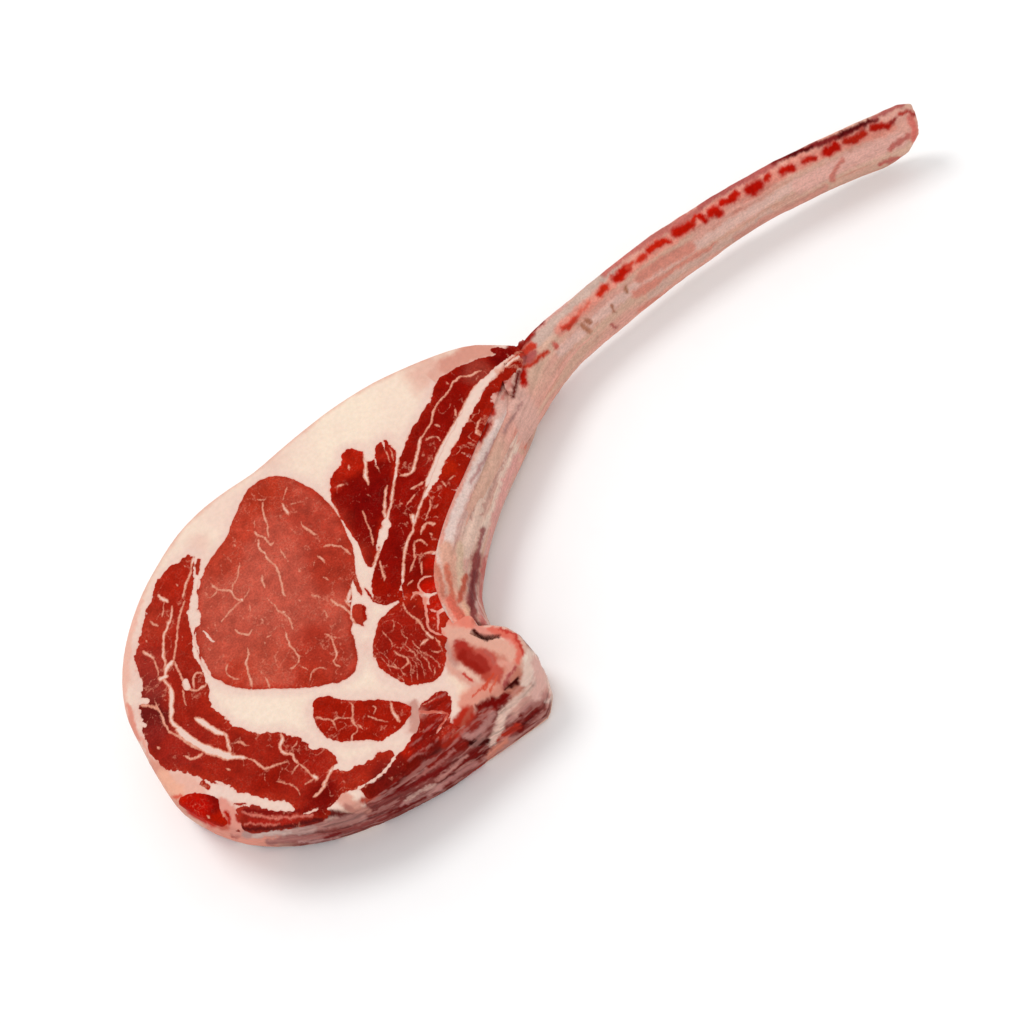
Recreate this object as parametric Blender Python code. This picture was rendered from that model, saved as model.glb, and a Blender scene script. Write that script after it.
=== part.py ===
"""A raw tomahawk steak: a thick rib steak with its whole rib bone left on as a handle.

Blender 4.5 script. Metres, +Z up. The steak lies on one of its two cut faces, the long bone points
along +X, and the origin is at the middle of the base of the bounding box. Every muscle runs from one cut
face to the other. What fills the space between the muscles is the fat, and the rib lies in a sheath of
membrane along the inner side.
"""

import math

import bmesh
import bpy
from mathutils import Vector

# --------------------------------------------------------------------------------- driving sizes, in mm

MM = 0.001
THICKNESS = 48.0  # between the two cut faces, over the fat
GAP = 0.3  # kept between solids that touch
PLAN_ORIGIN = (34.4, 16.9)  # point of the plan below that becomes the frame's origin

# The cuts ran a little askew, so the lower face isn't straight below the upper one. Pairs of X and the
# lower face's shift in Y at the front: under the far lip it lies further back, and under the vertebra it
# stands out.
LEAN = [
    (-210, 19), (-194, 17), (-182, 13), (-168, 11), (-152, 9), (-135, 5.2), (-115, 0.4), (-95, -2.2),
    (-75, -4.8), (-60, -7.5), (-50, -3.5), (-44, 0),
]
LEAN_FRONT_Y = -60.0
LEAN_FADE = (250.0, 40.0)  # how far back of that a shift to the back, and one to the front, fade to nothing

# --------------------------------------------------------------- outlines in plan, in mm, one turn each

BODY = [
    (60, 45), (61, 49), (58.5, 53.5), (53, 61), (45.5, 70), (32, 79), (16, 87), (0.5, 93.5), (-20, 99),
    (-40, 102), (-56, 103.5), (-70, 104.7), (-84, 108), (-100, 110.5), (-116, 110), (-132.5, 106),
    (-151, 99), (-169.5, 87.8), (-184, 74.5), (-195, 58), (-200.5, 40.5), (-205, 22.5), (-207.5, 6.5),
    (-205.5, -7), (-201, -21), (-194, -33.5), (-182, -44.5), (-168, -54.5), (-152, -62), (-135, -66),
    (-115, -68.5), (-95, -70), (-77, -71.5), (-64, -72), (-54.5, -71.2), (-48, -67), (-45.5, -60),
    (-46, -52), (-50, -45), (-55.5, -38.5), (-56.5, -31), (-53, -22), (-46, -10), (-36, -1), (-22, 7),
    (-8, 13.5), (6, 20), (22, 27), (38, 33.5), (52, 40),
]

EYE = [
    (-72, 97.5), (-82, 96.5), (-92, 92), (-104, 86.5), (-118, 83.5), (-130, 78.5), (-138, 69),
    (-147, 60), (-153, 49), (-154, 36), (-149, 23), (-139, 11), (-128, -1.5), (-116, -11.5),
    (-106, -12), (-98, -2), (-92, 11), (-81, 19), (-71, 31), (-63, 46), (-58.5, 62), (-58.5, 78),
    (-63, 91),
]

CAP = [
    (-120, 92), (-128, 97), (-139, 96), (-147, 91), (-158, 86), (-171, 77), (-180, 64), (-190, 52),
    (-197.5, 37), (-198, 24), (-192, 8), (-186, -7), (-179, -22), (-171.5, -35), (-167, -50),
    (-158, -53), (-147, -52), (-136, -56), (-124, -54), (-134, -49), (-146, -43), (-144, -34),
    (-147, -22), (-151, -11), (-160, 1), (-165, 14), (-166, 27), (-159, 42), (-153.5, 57), (-143, 70),
    (-130, 81),
]

FAN = [
    (-67, 21), (-62.5, 31), (-59, 42), (-57, 53), (-53, 64), (-46, 70), (-38, 71), (-33, 75), (-28, 68),
    (-26, 60), (-22, 65), (-17, 62), (-19.5, 54.5), (-27, 47), (-38, 38.5), (-50, 31), (-60, 24),
]

OUTER_STRIP = [
    (-77, 6), (-71, 14.5), (-60, 20), (-46, 27), (-33, 36), (-23, 48), (-10, 54), (0, 57.5), (13, 61),
    (24, 65.5), (38, 60.5), (48, 55), (54.5, 51), (54, 48.5), (44, 50), (30, 50.5), (14, 44.5), (0, 40),
    (-16, 33.5), (-32, 26), (-46, 17), (-58, 8), (-67, 0), (-74, 0.5),
]

INNER_STRIP = [
    (56, 45), (44, 45.5), (30, 43), (15, 38), (0, 34), (-15, 28.5), (-32, 22), (-46, 14), (-57, 5.5),
    (-62.5, -3), (-61, -8), (-58, -10.5), (-52, -6.5), (-44, -1), (-34, 6), (-21, 12), (-8, 17.5),
    (4, 23), (18, 28), (30, 34), (42, 38), (50, 40.5),
]

MULTIFIDUS = [
    (-100, -24), (-97, -15), (-90, -8), (-80, -3.5), (-70, -5), (-65, -9), (-64.5, -14), (-62, -18),
    (-64.5, -25), (-71, -33), (-77, -42), (-86, -45), (-94, -40), (-98.5, -32),
]

COMPLEXUS = [
    (-139.5, -24), (-136, -14), (-130, -9.5), (-125, -14), (-117, -24), (-110, -33), (-103, -46),
    (-110, -51), (-122, -49.5), (-130, -40), (-137, -33),
]

# These four run out through the side of the steak, so their outlines cross the body's.
CHINE_MUSCLE = [
    (-146.5, -57.5), (-139, -60), (-128, -60.5), (-118, -60.5), (-109, -57), (-104, -50.5), (-96, -51),
    (-88, -53), (-90, -60), (-97, -66), (-98, -76), (-122, -76), (-144, -72),
]

LIP_MUSCLE = [
    (-191, -20), (-186, -23), (-180, -32.5), (-174, -42), (-170.5, -51), (-170, -64), (-182, -60),
    (-192, -47), (-196, -32),
]

EDGE_MUSCLE = [(-216, -2), (-207, 3.5), (-199, 0), (-195, -10), (-196, -22), (-205, -27), (-214, -18)]

VERTEBRA = [
    (-66, -34), (-60.5, -38), (-54, -39), (-44, -43), (-38, -58), (-42, -74), (-58, -79), (-73, -78),
    (-75.5, -62), (-75, -48), (-71.5, -39),
]

# The open joint between the rib's head and the vertebra shows as a slit in the upper face.
JOINT_SLIT = [(-60, -42), (-58.6, -47.4), (-55.6, -51.8), (-51.5, -53.4), (-54.8, -50.2), (-57.4, -46.2)]
SLIT_LEVELS = [(0.4, THICKNESS - 6.0), (0, THICKNESS), (-0.1, THICKNESS + 3.0)]

# --------------------------------------------------------------------------------------- the rib, in mm

# From the head at the vertebra to the tip: X, Y, half thickness, lowest Z, highest Z, and how far the
# lower edge stands out towards the hollow of the curve.
RIB = [
    (-58.5, -35, 4.5, 13, 39, 0),
    (-55.5, -24, 5.0, 12, 41, 0),
    (-48.5, -11, 5.0, 11, 42, -1),
    (-37, -1, 5.0, 11, 42, -2),
    (-18, 9.5, 5.0, 10, 42, -2),
    (2, 18, 5.0, 10, 42, -2),
    (17, 24.5, 5.0, 9.5, 42, -1),
    (32, 30.7, 5.4, 9, 42, 0),
    (46, 37.3, 6.8, 8.5, 42, 1.8),
    (60, 43.7, 8.3, 8, 42, 3.8),
    (78, 46.4, 7.3, 8, 42, 4.6),
    (100, 44.5, 6.5, 8, 42, 4.3),
    (120, 42.1, 6.5, 8, 42, 4.2),
    (140, 39.1, 6.5, 8, 42, 3.7),
    (160, 34.8, 6.1, 8, 42, 3),
    (180, 29.8, 5.7, 8, 42, 2),
    (200, 23.7, 5.4, 8.2, 42, 1.8),
    (220, 16.1, 5.2, 7, 42.5, 1),
    (240, 7.7, 4.8, 5, 43.5, 0),
    (256, 0, 4.6, 3, 44, 0),
    (267, -5, 4.4, 6, 44, 0),
    (273, -7.7, 4.0, 11, 43, 0),
    (276, -9, 3.0, 18, 41, 0),
]

# The rib's section: a flat strip on edge, with a facet along its top and a full inner face. U runs from
# the outer side to the inner one, V from the lower edge to the upper, both from -1 to 1.
RIB_PROFILE = [
    (-1, 0.86), (-0.72, 1), (0.2, 0.97), (0.62, 0.84), (0.9, 0.5), (1, 0), (0.92, -0.5), (0.6, -0.87),
    (0, -1), (-0.65, -0.9), (-0.97, -0.5), (-1, 0.3),
]

# The membrane's sheath over the rib, from the vertebra to where the bone comes out: its station in RIB,
# outer and inner reach from the rib's centre line, lowest Z, highest Z, the cutter's highest Z, and how
# full it is at the foot.
SHEATH = [
    (0, -5.8, 9.5, 0.7, 47.6, 50, 1),
    (1, -6.2, 9.8, 0.7, 47.6, 50, 1),
    (2, -6.2, 9.2, 0.7, 47.6, 50, 1),
    (3, -6.2, 8.2, 0.7, 47.6, 50, 0.8),
    (4, -6.2, 6.8, 0.7, 47.6, 50, 0.45),
    (5, -6.2, 6.0, 0.7, 47.6, 50, 0),
    (7, -6.6, 6.8, 1, 47, 50, 0.1),
    (8, -7.6, 7.8, 3.5, 44.6, 45, 0.2),
    (9, -8.8, 8.9, 6, 43.4, 43.7, 0.2),
    (9.4, -8.8, 8.9, 6.5, 43.0, 43.3, 0.2),
]

# Flat against the meat and full over the rib. Below the rib it is drawn in, or full as well near the
# vertebra.
SHEATH_DRAWN_IN = [
    (-1, -0.96), (-1, -0.3), (-1, 0.4), (-0.97, 0.97), (-0.6, 0.96), (0, 0.86), (0.62, 0.66),
    (0.96, 0.32), (0.98, -0.08), (0.74, -0.46), (0.34, -0.76), (-0.2, -0.95),
]
SHEATH_FULL = [
    (-1, -0.96), (-1, -0.3), (-1, 0.4), (-0.97, 0.97), (-0.6, 0.96), (0, 0.86), (0.62, 0.66),
    (0.96, 0.32), (1, -0.08), (1, -0.46), (0.93, -0.82), (0.4, -0.98),
]

# ------------------------------------------------------------------------------------ levels of a solid

# Each pair is an inset from the outline and a height, from the lower face to the upper one.
BODY_LEVELS = [
    (4.5, 0), (2, 0.9), (0.6, 3), (-0.2, 8), (-1, 24), (-0.2, 40), (0.5, 44.4), (1.8, 47), (4.6, THICKNESS),
]
RIM = 1.1  # rounding of a muscle where it meets the two cut faces
CUTTER_REACH = 3.0  # how far a cutter runs past the faces
THROUGH_BELOW = 1.5  # where the sheath's foot is lower than this, its cutter runs out through the lower face

MUSCLES = {  # name: outline, height above the fat, count of points round it
    "eye_muscle": (EYE, 0.8, 64),
    "cap_muscle": (CAP, 0.6, 84),
    "fan_muscle": (FAN, 0.3, 52),
    "outer_rib_strip": (OUTER_STRIP, 0.4, 64),
    "inner_rib_strip": (INNER_STRIP, 0.4, 60),
    "multifidus": (MULTIFIDUS, 0.6, 40),
    "complexus": (COMPLEXUS, 0.6, 36),
}
SIDE_MUSCLES = {
    "chine_muscle": (CHINE_MUSCLE, 40),
    "lip_muscle": (LIP_MUSCLE, 32),
    "edge_muscle": (EDGE_MUSCLE, 26),
}
BODY_POINTS = 110
VERTEBRA_POINTS = 36
SLIT_POINTS = 24
RIB_RINGS = 54
RIB_SIDES = 16
SHEATH_RINGS = 28
SHEATH_SIDES = 20

COLOURS = {  # base colour, roughness
    "eye": ((0.50, 0.055, 0.030), 0.42),
    "lean": ((0.38, 0.010, 0.005), 0.40),
    "fat": ((0.86, 0.66, 0.52), 0.45),
    "membrane": ((0.62, 0.42, 0.32), 0.35),
    "bone": ((0.70, 0.42, 0.33), 0.40),
}


# ----------------------------------------------------------------------------------------------- curves


def through(points, count, closed):
    """count points, evenly spread, on the smooth Catmull-Rom curve through these points of any dimension."""
    total = len(points)
    spans = total if closed else total - 1
    dense = []
    for i in range(spans):
        if closed:
            four = [points[(i + k) % total] for k in (-1, 0, 1, 2)]
        else:
            four = [points[min(max(i + k, 0), total - 1)] for k in (-1, 0, 1, 2)]
        for step in range(16):
            dense.append(catmull_rom(four, step / 16))
    dense.append(dense[0] if closed else tuple(float(c) for c in points[-1]))
    lengths = [0.0]
    for a, b in zip(dense, dense[1:]):
        lengths.append(lengths[-1] + math.dist(a[:2], b[:2]))
    wanted = [lengths[-1] * i / (count if closed else count - 1) for i in range(count)]
    found, at = [], 0
    for length in wanted:
        while at < len(dense) - 2 and lengths[at + 1] < length:
            at += 1
        share = (length - lengths[at]) / max(lengths[at + 1] - lengths[at], 1e-9)
        share = min(max(share, 0.0), 1.0)
        found.append(tuple(a + (b - a) * share for a, b in zip(dense[at], dense[at + 1])))
    return found


def catmull_rom(four, t):
    """The point at share t between the middle two of four points."""
    return tuple(
        0.5 * (2 * b + (c - a) * t + (2 * a - 5 * b + 4 * c - d) * t**2 + (3 * b - a - 3 * c + d) * t**3)
        for a, b, c, d in zip(*four)
    )


def anticlockwise(outline):
    twice_area = sum(a[0] * b[1] - b[0] * a[1] for a, b in zip(outline, outline[1:] + outline[:1]))
    return outline if twice_area > 0 else outline[::-1]


def inset(outline, distance):
    """The anticlockwise outline moved inwards, point by point, and less where the shape is narrow."""
    moved = []
    for i, (x, y) in enumerate(outline):
        before, after = outline[i - 1], outline[(i + 1) % len(outline)]
        along = Vector((after[0] - before[0], after[1] - before[1])).normalized()
        inwards = Vector((-along.y, along.x))
        step = min(distance, 0.3 * clear_width(outline, i, inwards)) if distance > 0 else distance
        moved.append((x + inwards.x * step, y + inwards.y * step))
    return moved


def clear_width(outline, index, direction):
    """Distance from a point of the outline, along a direction, to the nearest of its other sides."""
    start = Vector(outline[index])
    nearest = math.inf
    for i, corner in enumerate(outline):
        if index in (i, (i + 1) % len(outline)):
            continue
        a, b = Vector(corner) - start, Vector(outline[(i + 1) % len(outline)]) - start
        side = b - a
        turn = direction.cross(side)
        if abs(turn) < 1e-9:
            continue
        ahead, share = a.cross(side) / turn, a.cross(direction) / turn
        if ahead > 0 and 0 <= share <= 1:
            nearest = min(nearest, ahead)
    return nearest


def leaned(x, y, z):
    """A point of the plan at height z, shifted as the askew cuts shift it, in metres in the frame."""
    shift = between(LEAN, x)[1]
    fade = LEAN_FADE[0] if shift > 0 else LEAN_FADE[1]
    shift *= min(max(1 - (y - LEAN_FRONT_Y) / fade, 0.0), 1.0) * (1 - z / THICKNESS)
    return Vector((x - PLAN_ORIGIN[0], y - PLAN_ORIGIN[1] + shift, z)) * MM


def between(rows, first):
    """The row whose first value is this, on the straight line between two of the rows."""
    for before, after in zip(rows, rows[1:]):
        if first <= after[0]:
            share = max((first - before[0]) / (after[0] - before[0]), 0.0)
            return [a + (b - a) * share for a, b in zip(before, after)]
    return list(rows[-1])


# ----------------------------------------------------------------------------------------------- solids


def loft(name, rings, material, collection):
    """A closed solid through rings of equally many points, with a flat face over each end."""
    mesh = bmesh.new()
    rows = [[mesh.verts.new(point) for point in ring] for ring in rings]
    for lower, upper in zip(rows, rows[1:]):
        for i in range(len(lower)):
            j = (i + 1) % len(lower)
            mesh.faces.new((lower[i], lower[j], upper[j], upper[i]))
    mesh.faces.new(rows[0][::-1])
    mesh.faces.new(rows[-1])
    bmesh.ops.recalc_face_normals(mesh, faces=mesh.faces)
    data = bpy.data.meshes.new(name)
    mesh.to_mesh(data)
    mesh.free()
    data.materials.append(material)
    data.shade_smooth()
    data.set_sharp_from_angle(angle=math.radians(40))
    made = bpy.data.objects.new(name, data)
    collection.objects.link(made)
    return made


def standing(name, outline, count, levels, material, collection):
    """A solid whose outline stands on the base and goes through these levels."""
    curve = anticlockwise(through(outline, count, closed=True))
    rings = [[leaned(x, y, z) for x, y in inset(curve, amount)] for amount, z in levels]
    return loft(name, rings, material, collection)


def muscle_levels(rise):
    top = THICKNESS + rise
    half_gap = GAP / 2
    return [
        (half_gap + RIM, 0),
        (half_gap, RIM),
        (half_gap, THICKNESS / 2),
        (half_gap, top - RIM),
        (half_gap + RIM * 0.4, top - RIM * 0.3),
        (half_gap + RIM * 1.4, top),
    ]


def cutter_levels():
    return [(-GAP / 2, z) for z in (-CUTTER_REACH, THICKNESS / 2, THICKNESS + CUTTER_REACH)]


def rib_station(position):
    """Values of RIB at a station number that may lie between two rows, on the smooth curve through them."""
    first = min(max(int(position), 0), len(RIB) - 2)
    four = [RIB[min(max(first + k, 0), len(RIB) - 1)] for k in (-1, 0, 1, 2)]
    return catmull_rom(four, position - first)


def rib_frame(position):
    """Centre in plan and the unit normal towards the hollow of the rib's curve, at a station."""
    here, ahead, behind = (rib_station(position + d)[:2] for d in (0, 0.05, -0.05))
    along = Vector((ahead[0] - behind[0], ahead[1] - behind[1])).normalized()
    return Vector(here), Vector((along.y, -along.x))


def ring_across(position, offsets_and_heights):
    centre, normal = rib_frame(position)
    ring = []
    for offset, z in offsets_and_heights:
        point = centre + normal * offset
        ring.append(leaned(point.x, point.y, z))
    return ring


def rib_positions(count):
    """Station numbers whose centres lie evenly along the rib."""
    numbered = [(*row[:2], i) for i, row in enumerate(RIB)]
    return [point[2] for point in through(numbered, count, closed=False)]


def rib_rings(grow):
    """Rings of the rib's section from head to tip, grown by this much all round."""
    profile = through(RIB_PROFILE, RIB_SIDES, closed=True)
    rings = []
    for position in rib_positions(RIB_RINGS):
        _, _, half, low, high, kick = rib_station(position)
        middle, rise = (low + high) / 2, (high - low) / 2 + grow
        section = [(u * (half + grow) + kick * (1 - v) / 2, middle + v * rise) for u, v in profile]
        rings.append(ring_across(position, section))
    if grow:
        rings[0] = pushed_out(rings[0], rings[1], grow)
        rings[-1] = pushed_out(rings[-1], rings[-2], grow)
    return rings


def pushed_out(ring, neighbour, distance):
    """The end ring moved away from its neighbour by this many mm."""
    away = sum(ring, Vector()) / len(ring) - sum(neighbour, Vector()) / len(neighbour)
    return [point + away.normalized() * distance * MM for point in ring]


def sheath_rings(as_cutter):
    grow = GAP if as_cutter else 0.0
    rings = []
    for i in range(SHEATH_RINGS):
        position = SHEATH[-1][0] * i / (SHEATH_RINGS - 1)
        _, outer, inner, low, high, cutter_high, fullness = between(SHEATH, position)
        if as_cutter:
            low, high = low - (CUTTER_REACH if low < THROUGH_BELOW else grow), cutter_high
        middle, rise = (low + high) / 2, (high - low) / 2
        centre, reach = (inner + outer) / 2, (inner - outer) / 2 + grow
        corners = [
            (a[0] + (b[0] - a[0]) * fullness, a[1] + (b[1] - a[1]) * fullness)
            for a, b in zip(SHEATH_DRAWN_IN, SHEATH_FULL)
        ]
        profile = through(corners, SHEATH_SIDES, closed=True)
        rings.append(ring_across(position, [(centre + u * reach, middle + v * rise) for u, v in profile]))
    if as_cutter:
        rings[0] = pushed_out(rings[0], rings[1], GAP)
        rings[-1] = pushed_out(rings[-1], rings[-2], GAP)
    return rings


def combined(target, other, operation):
    """Adds a Boolean with an object or, for a collection, with all that it holds."""
    boolean = target.modifiers.new(f"{operation.lower()}_{other.name}", "BOOLEAN")
    boolean.operation = operation
    boolean.solver = "EXACT"
    if isinstance(other, bpy.types.Collection):
        boolean.operand_type = "COLLECTION"
        boolean.collection = other
    else:
        boolean.object = other


# -------------------------------------------------------------------------------------------- the steak


def surface(name):
    colour, roughness = COLOURS[name]
    made = bpy.data.materials.new(name)
    made.use_nodes = True
    shader = made.node_tree.nodes["Principled BSDF"]
    shader.inputs["Base Color"].default_value = (*colour, 1)
    shader.inputs["Roughness"].default_value = roughness
    made.diffuse_color = (*colour, 1)
    return made


def new_collection(name, helper=False):
    made = bpy.data.collections.new(name)
    made.hide_render = helper
    bpy.context.scene.collection.children.link(made)
    return made


def make_bones(steak, cutters, surfaces):
    """The rib, and the cutters that keep the other pieces clear of it and of its sheath."""
    loft("rib_bone", rib_rings(0.0), surfaces["bone"], steak)
    rib_cutter = loft("rib_cutter", rib_rings(GAP), surfaces["bone"], cutters)
    sheath_cutter = loft("sheath_cutter", sheath_rings(True), surfaces["membrane"], cutters)
    return rib_cutter, sheath_cutter


def make_sheath(steak, surfaces, rib_cutter):
    sheath = loft("rib_membrane", sheath_rings(False), surfaces["membrane"], steak)
    combined(sheath, rib_cutter, "DIFFERENCE")


def make_muscles(steak, cutters, surfaces, rib_cutter, sheath_cutter):
    """The muscles that end within the fat. The strips by the rib are cut back from it and its sheath."""
    for name, (outline, rise, count) in MUSCLES.items():
        look = surfaces["eye" if name == "eye_muscle" else "lean"]
        muscle = standing(name, outline, count, muscle_levels(rise), look, steak)
        if name.endswith("rib_strip"):
            combined(muscle, sheath_cutter, "DIFFERENCE")
            combined(muscle, rib_cutter, "DIFFERENCE")
        standing(f"{name}_cutter", outline, count, cutter_levels(), look, cutters)


def make_side_pieces(steak, cutters, surfaces, body, sheath_cutter, slit):
    """The pieces that show at the side of the steak, ended by its surface."""
    pieces = {name: (*values, "lean") for name, values in SIDE_MUSCLES.items()}
    pieces["vertebra"] = (VERTEBRA, VERTEBRA_POINTS, "bone")
    for name, (outline, count, look) in pieces.items():
        levels = [(amount + GAP, z) for amount, z in cutter_levels()]
        piece = standing(name, outline, count, levels, surfaces[look], steak)
        combined(piece, body, "INTERSECT")
        if name == "vertebra":
            combined(piece, sheath_cutter, "DIFFERENCE")
            combined(piece, slit, "DIFFERENCE")
        standing(f"{name}_cutter", outline, count, cutter_levels(), surfaces[look], cutters)


def make_fat(steak, cutters, surfaces):
    """All of the body that no muscle and no bone takes."""
    fat = standing("fat", BODY, BODY_POINTS, BODY_LEVELS, surfaces["fat"], steak)
    combined(fat, cutters, "DIFFERENCE")


def main():
    for old in list(bpy.data.objects):
        bpy.data.objects.remove(old)
    surfaces = {name: surface(name) for name in COLOURS}
    steak = new_collection("tomahawk_steak")
    cutters = new_collection("cutters", helper=True)
    helpers = new_collection("helpers", helper=True)
    body = standing("body", BODY, BODY_POINTS, BODY_LEVELS, surfaces["fat"], helpers)
    slit = standing("joint_slit", JOINT_SLIT, SLIT_POINTS, SLIT_LEVELS, surfaces["bone"], helpers)
    rib_cutter, sheath_cutter = make_bones(steak, cutters, surfaces)
    make_sheath(steak, surfaces, rib_cutter)
    make_muscles(steak, cutters, surfaces, rib_cutter, sheath_cutter)
    make_side_pieces(steak, cutters, surfaces, body, sheath_cutter, slit)
    make_fat(steak, cutters, surfaces)
    for helper in (*cutters.objects, *helpers.objects):
        helper.hide_render = True
        helper.display_type = "WIRE"


main()
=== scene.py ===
"""The looks of a raw tomahawk steak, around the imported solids.

Blender 4.5 script. The meat is one surface of a fine grid over both cut faces and round the side, cut into
one closed piece for each muscle, the fat and the vertebra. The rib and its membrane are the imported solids,
made finer and given relief. Sizes below are in mm in the plan of the steak, or in metres in the frame.
"""

import math
from collections import namedtuple

import bpy
import numpy as np
from mathutils import Matrix, Vector


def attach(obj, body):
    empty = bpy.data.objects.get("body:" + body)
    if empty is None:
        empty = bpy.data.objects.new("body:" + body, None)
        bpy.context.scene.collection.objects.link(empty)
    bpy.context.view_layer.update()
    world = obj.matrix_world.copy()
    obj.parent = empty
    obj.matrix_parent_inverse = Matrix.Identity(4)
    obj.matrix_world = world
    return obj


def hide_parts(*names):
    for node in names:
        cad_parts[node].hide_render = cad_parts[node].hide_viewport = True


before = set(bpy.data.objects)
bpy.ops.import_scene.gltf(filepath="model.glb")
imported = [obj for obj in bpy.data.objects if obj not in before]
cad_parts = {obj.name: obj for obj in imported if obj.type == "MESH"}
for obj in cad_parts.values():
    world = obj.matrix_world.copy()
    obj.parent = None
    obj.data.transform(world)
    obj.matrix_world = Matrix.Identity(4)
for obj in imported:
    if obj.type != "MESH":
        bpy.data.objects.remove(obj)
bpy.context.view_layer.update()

# ------------------------------------------------------------------------------------- the steak's sizes

MM = 0.001
THICKNESS = 48.0
PLAN_ORIGIN = (34.4, 16.9)  # point of the plan at the frame's origin
GRID = 0.5  # side of the surface's cells
GRID_X, GRID_Y = (-214, 66), (-80, 118)
WAVE = 0.45  # how far drawn lines waver
WALL_ROWS = 44
FAT_SPLIT_X = -100.0  # the fat is made in two pieces that meet here

# The cuts ran a little askew: X, and the lower face's shift in Y at the front. Towards the back it fades
# out, over the first length where the shift is positive and over the second where it is negative.
ASKEW = [
    (-210, 19), (-194, 17), (-182, 13), (-168, 11), (-152, 9), (-135, 5.2), (-115, 0.4), (-95, -2.2),
    (-75, -4.8), (-60, -7.5), (-50, -3.5), (-44, 0),
]
ASKEW_FRONT_Y = -60.0
ASKEW_FADE = (250.0, 40.0)

SLICE_Z = 44.0  # the solids' outlines are read at this height
FACE_RISE = 0.3  # how far over the thickness the lean stands that the photograph shows
CLOSED_GAP = 0.16  # half the gap between two solids, and a little
MUSCLE_FIRST = 0.15  # how much further into the fat a cell still belongs to the muscle
NUDGE = 0.0001  # keeps the grid's lines off the outlines' corners
NECK_X, CORNER_X = 20.0, -150.0  # the steak's neck and its lower left corner lie past these
NECK_GAP = (50.4, 47.2, 1.9)  # middle and radius of a gap by the rib that the meat fills

# The rounded edge of the meat: distance from the outline, and how far the face curves away from its level.
UPPER_EDGE = [(0, 3.9), (0.5, 2.3), (1.35, 1.0), (2.6, 0.3), (4.15, 0)]
LOWER_EDGE = [(0, 3.2), (0.5, 1.8), (1.55, 0.9), (4.05, 0)]
TIGHT_EDGE = [(0, 0.3), (0.5, 0.08), (1.2, 0)]  # beside the rib's membrane
TUCK = 2.0  # how far the meat reaches under the membrane there
RIB_NEAR = (1.4, 4.5)  # distances from the rib and the membrane between which that edge turns to the other
BULGE = [(3, 0), (8, 0.65), (24, 1.45), (40, 0.65), (44, 0)]  # height, and how far the side stands out
STRAND_SLOPE, FINE_SLOPE = 0.12, 0.16  # how steeply the side's strands run down along it

# Outline of the open slit of the joint between vertebra and rib.
JOINT_SLIT = [(-60, -42), (-58.6, -47.4), (-55.6, -51.8), (-51.5, -53.4), (-54.8, -50.2), (-57.4, -46.2)]
SLIT_DEPTH = 5.5
SLIT_FILL = 0.6  # the meat is closed below the slit and this far round it
RIB_FACE = 0.0008  # side of the faces of the rib and the membrane, in metres
RIB_ROUND = 14  # the rib's mean radius, which turns angles round it into mm
THIN_SKIN = (0.0024, 0.0010)  # metres over the rib: where the membrane starts to join it, and where it has
SUNK = 0.0012  # how far it goes into the rib there, in metres
SHARP_ANGLE = 62  # degrees between faces that meet in a sharp edge

# Middle line of the rib in plan, from its head to its tip.
RIB_LINE = [
    (-58.5, -35), (-55.5, -24), (-48.5, -11), (-37, -1), (-18, 9.5), (2, 18), (17, 24.5), (32, 30.7),
    (46, 37.3), (60, 43.7), (78, 46.4), (100, 44.5), (120, 42.1), (140, 39.1), (160, 34.8), (180, 29.8),
    (200, 23.7), (220, 16.1), (240, 7.7), (256, 0), (267, -5), (276, -9),
]

# Where the side's colours turn, in mm, from none of the second to all of it.
CUT_X, CUT_Y = (-196, -178), (-14, -36)  # from the fat's rind to cut flesh and bone
RIB_SIDE_X, RIB_SIDE_Y = (-48, -38), (14, 6)  # to the pale flesh below the rib
PINK_X, PINK_Y = (-150, -195), (30, -10)  # to the pinker rind of the corner
TOP_Z = (36, 43)  # to the colours of the upper face

# The map that a piece's colours are baked to, from 0 to 1: where each kind of face starts, and its room.
MAP_STARTS = {"upper": (0.01, 0.01), "lower": (0.01, 0.62), "side": (0.47, 0.62), "inner": (0.01, 0.93)}
UPPER_ROOM = (0.97, 0.59)  # the lower face is drawn half as large
SIDE_BANDS, BAND_ROOM, BAND_STEP = 4, (0.52, 0.088), 0.095
INNER_ROOM, INNER_STEP = (0.0018, 0.006), (0.002, 0.008)
INNER_COLUMNS, INNER_ROWS = 220, 8

# -------------------------------------------------------------------------- the camera, light and surface

WORLD_LIGHT = 0.88
KEY_UP, KEY_LEFT, KEY_REACH = 0.75, 1.1, 0.9  # the lamp's way up and left in the picture, and their factor
KEY_HEIGHT, KEY_SIZE, KEY_POWER = 1.9, 1.0, 22.0
FLOOR_HALF = 3.0
FLESH_BUMP, BONE_BUMP, FLOOR_BUMP = 0.00022, 0.0003, 0.00005
SOFT_FLESH = {
    "Subsurface Weight": 0.04,
    "Subsurface Radius": (1.0, 0.35, 0.2),
    "Subsurface Scale": 0.0015,
    "Specular IOR Level": 0.01,
}

PHOTO_SIDE = 1024  # pixels
LENS, SENSOR = 100.0, 36.0
CLIPPING = (0.05, 20)
AZIMUTH, ELEVATION, ROLL = -19.0, 60.0, 28.7
MM_PER_PIXEL = 0.474
AIM = (0.0, 0.0, 24.0)

# ----------------------------------------------------------------- marbling, in pixels of the photograph
# Each line is its width and the points it runs through.

LINE_HALF, LINE_NECK, LINE_TIP = 0.55, 0.75, 0.45  # half of a line's width, and the share left at its ends
BLUNT_WIDTH = 4  # a short line from this width on keeps its ends full
NO_GROWTH, NO_NOTCH, NO_VEIN = -9.0, -6.0, -4.0  # what the drawn fields hold, in mm, away from every line
DRAW_REACH = 6.0  # mm

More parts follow.
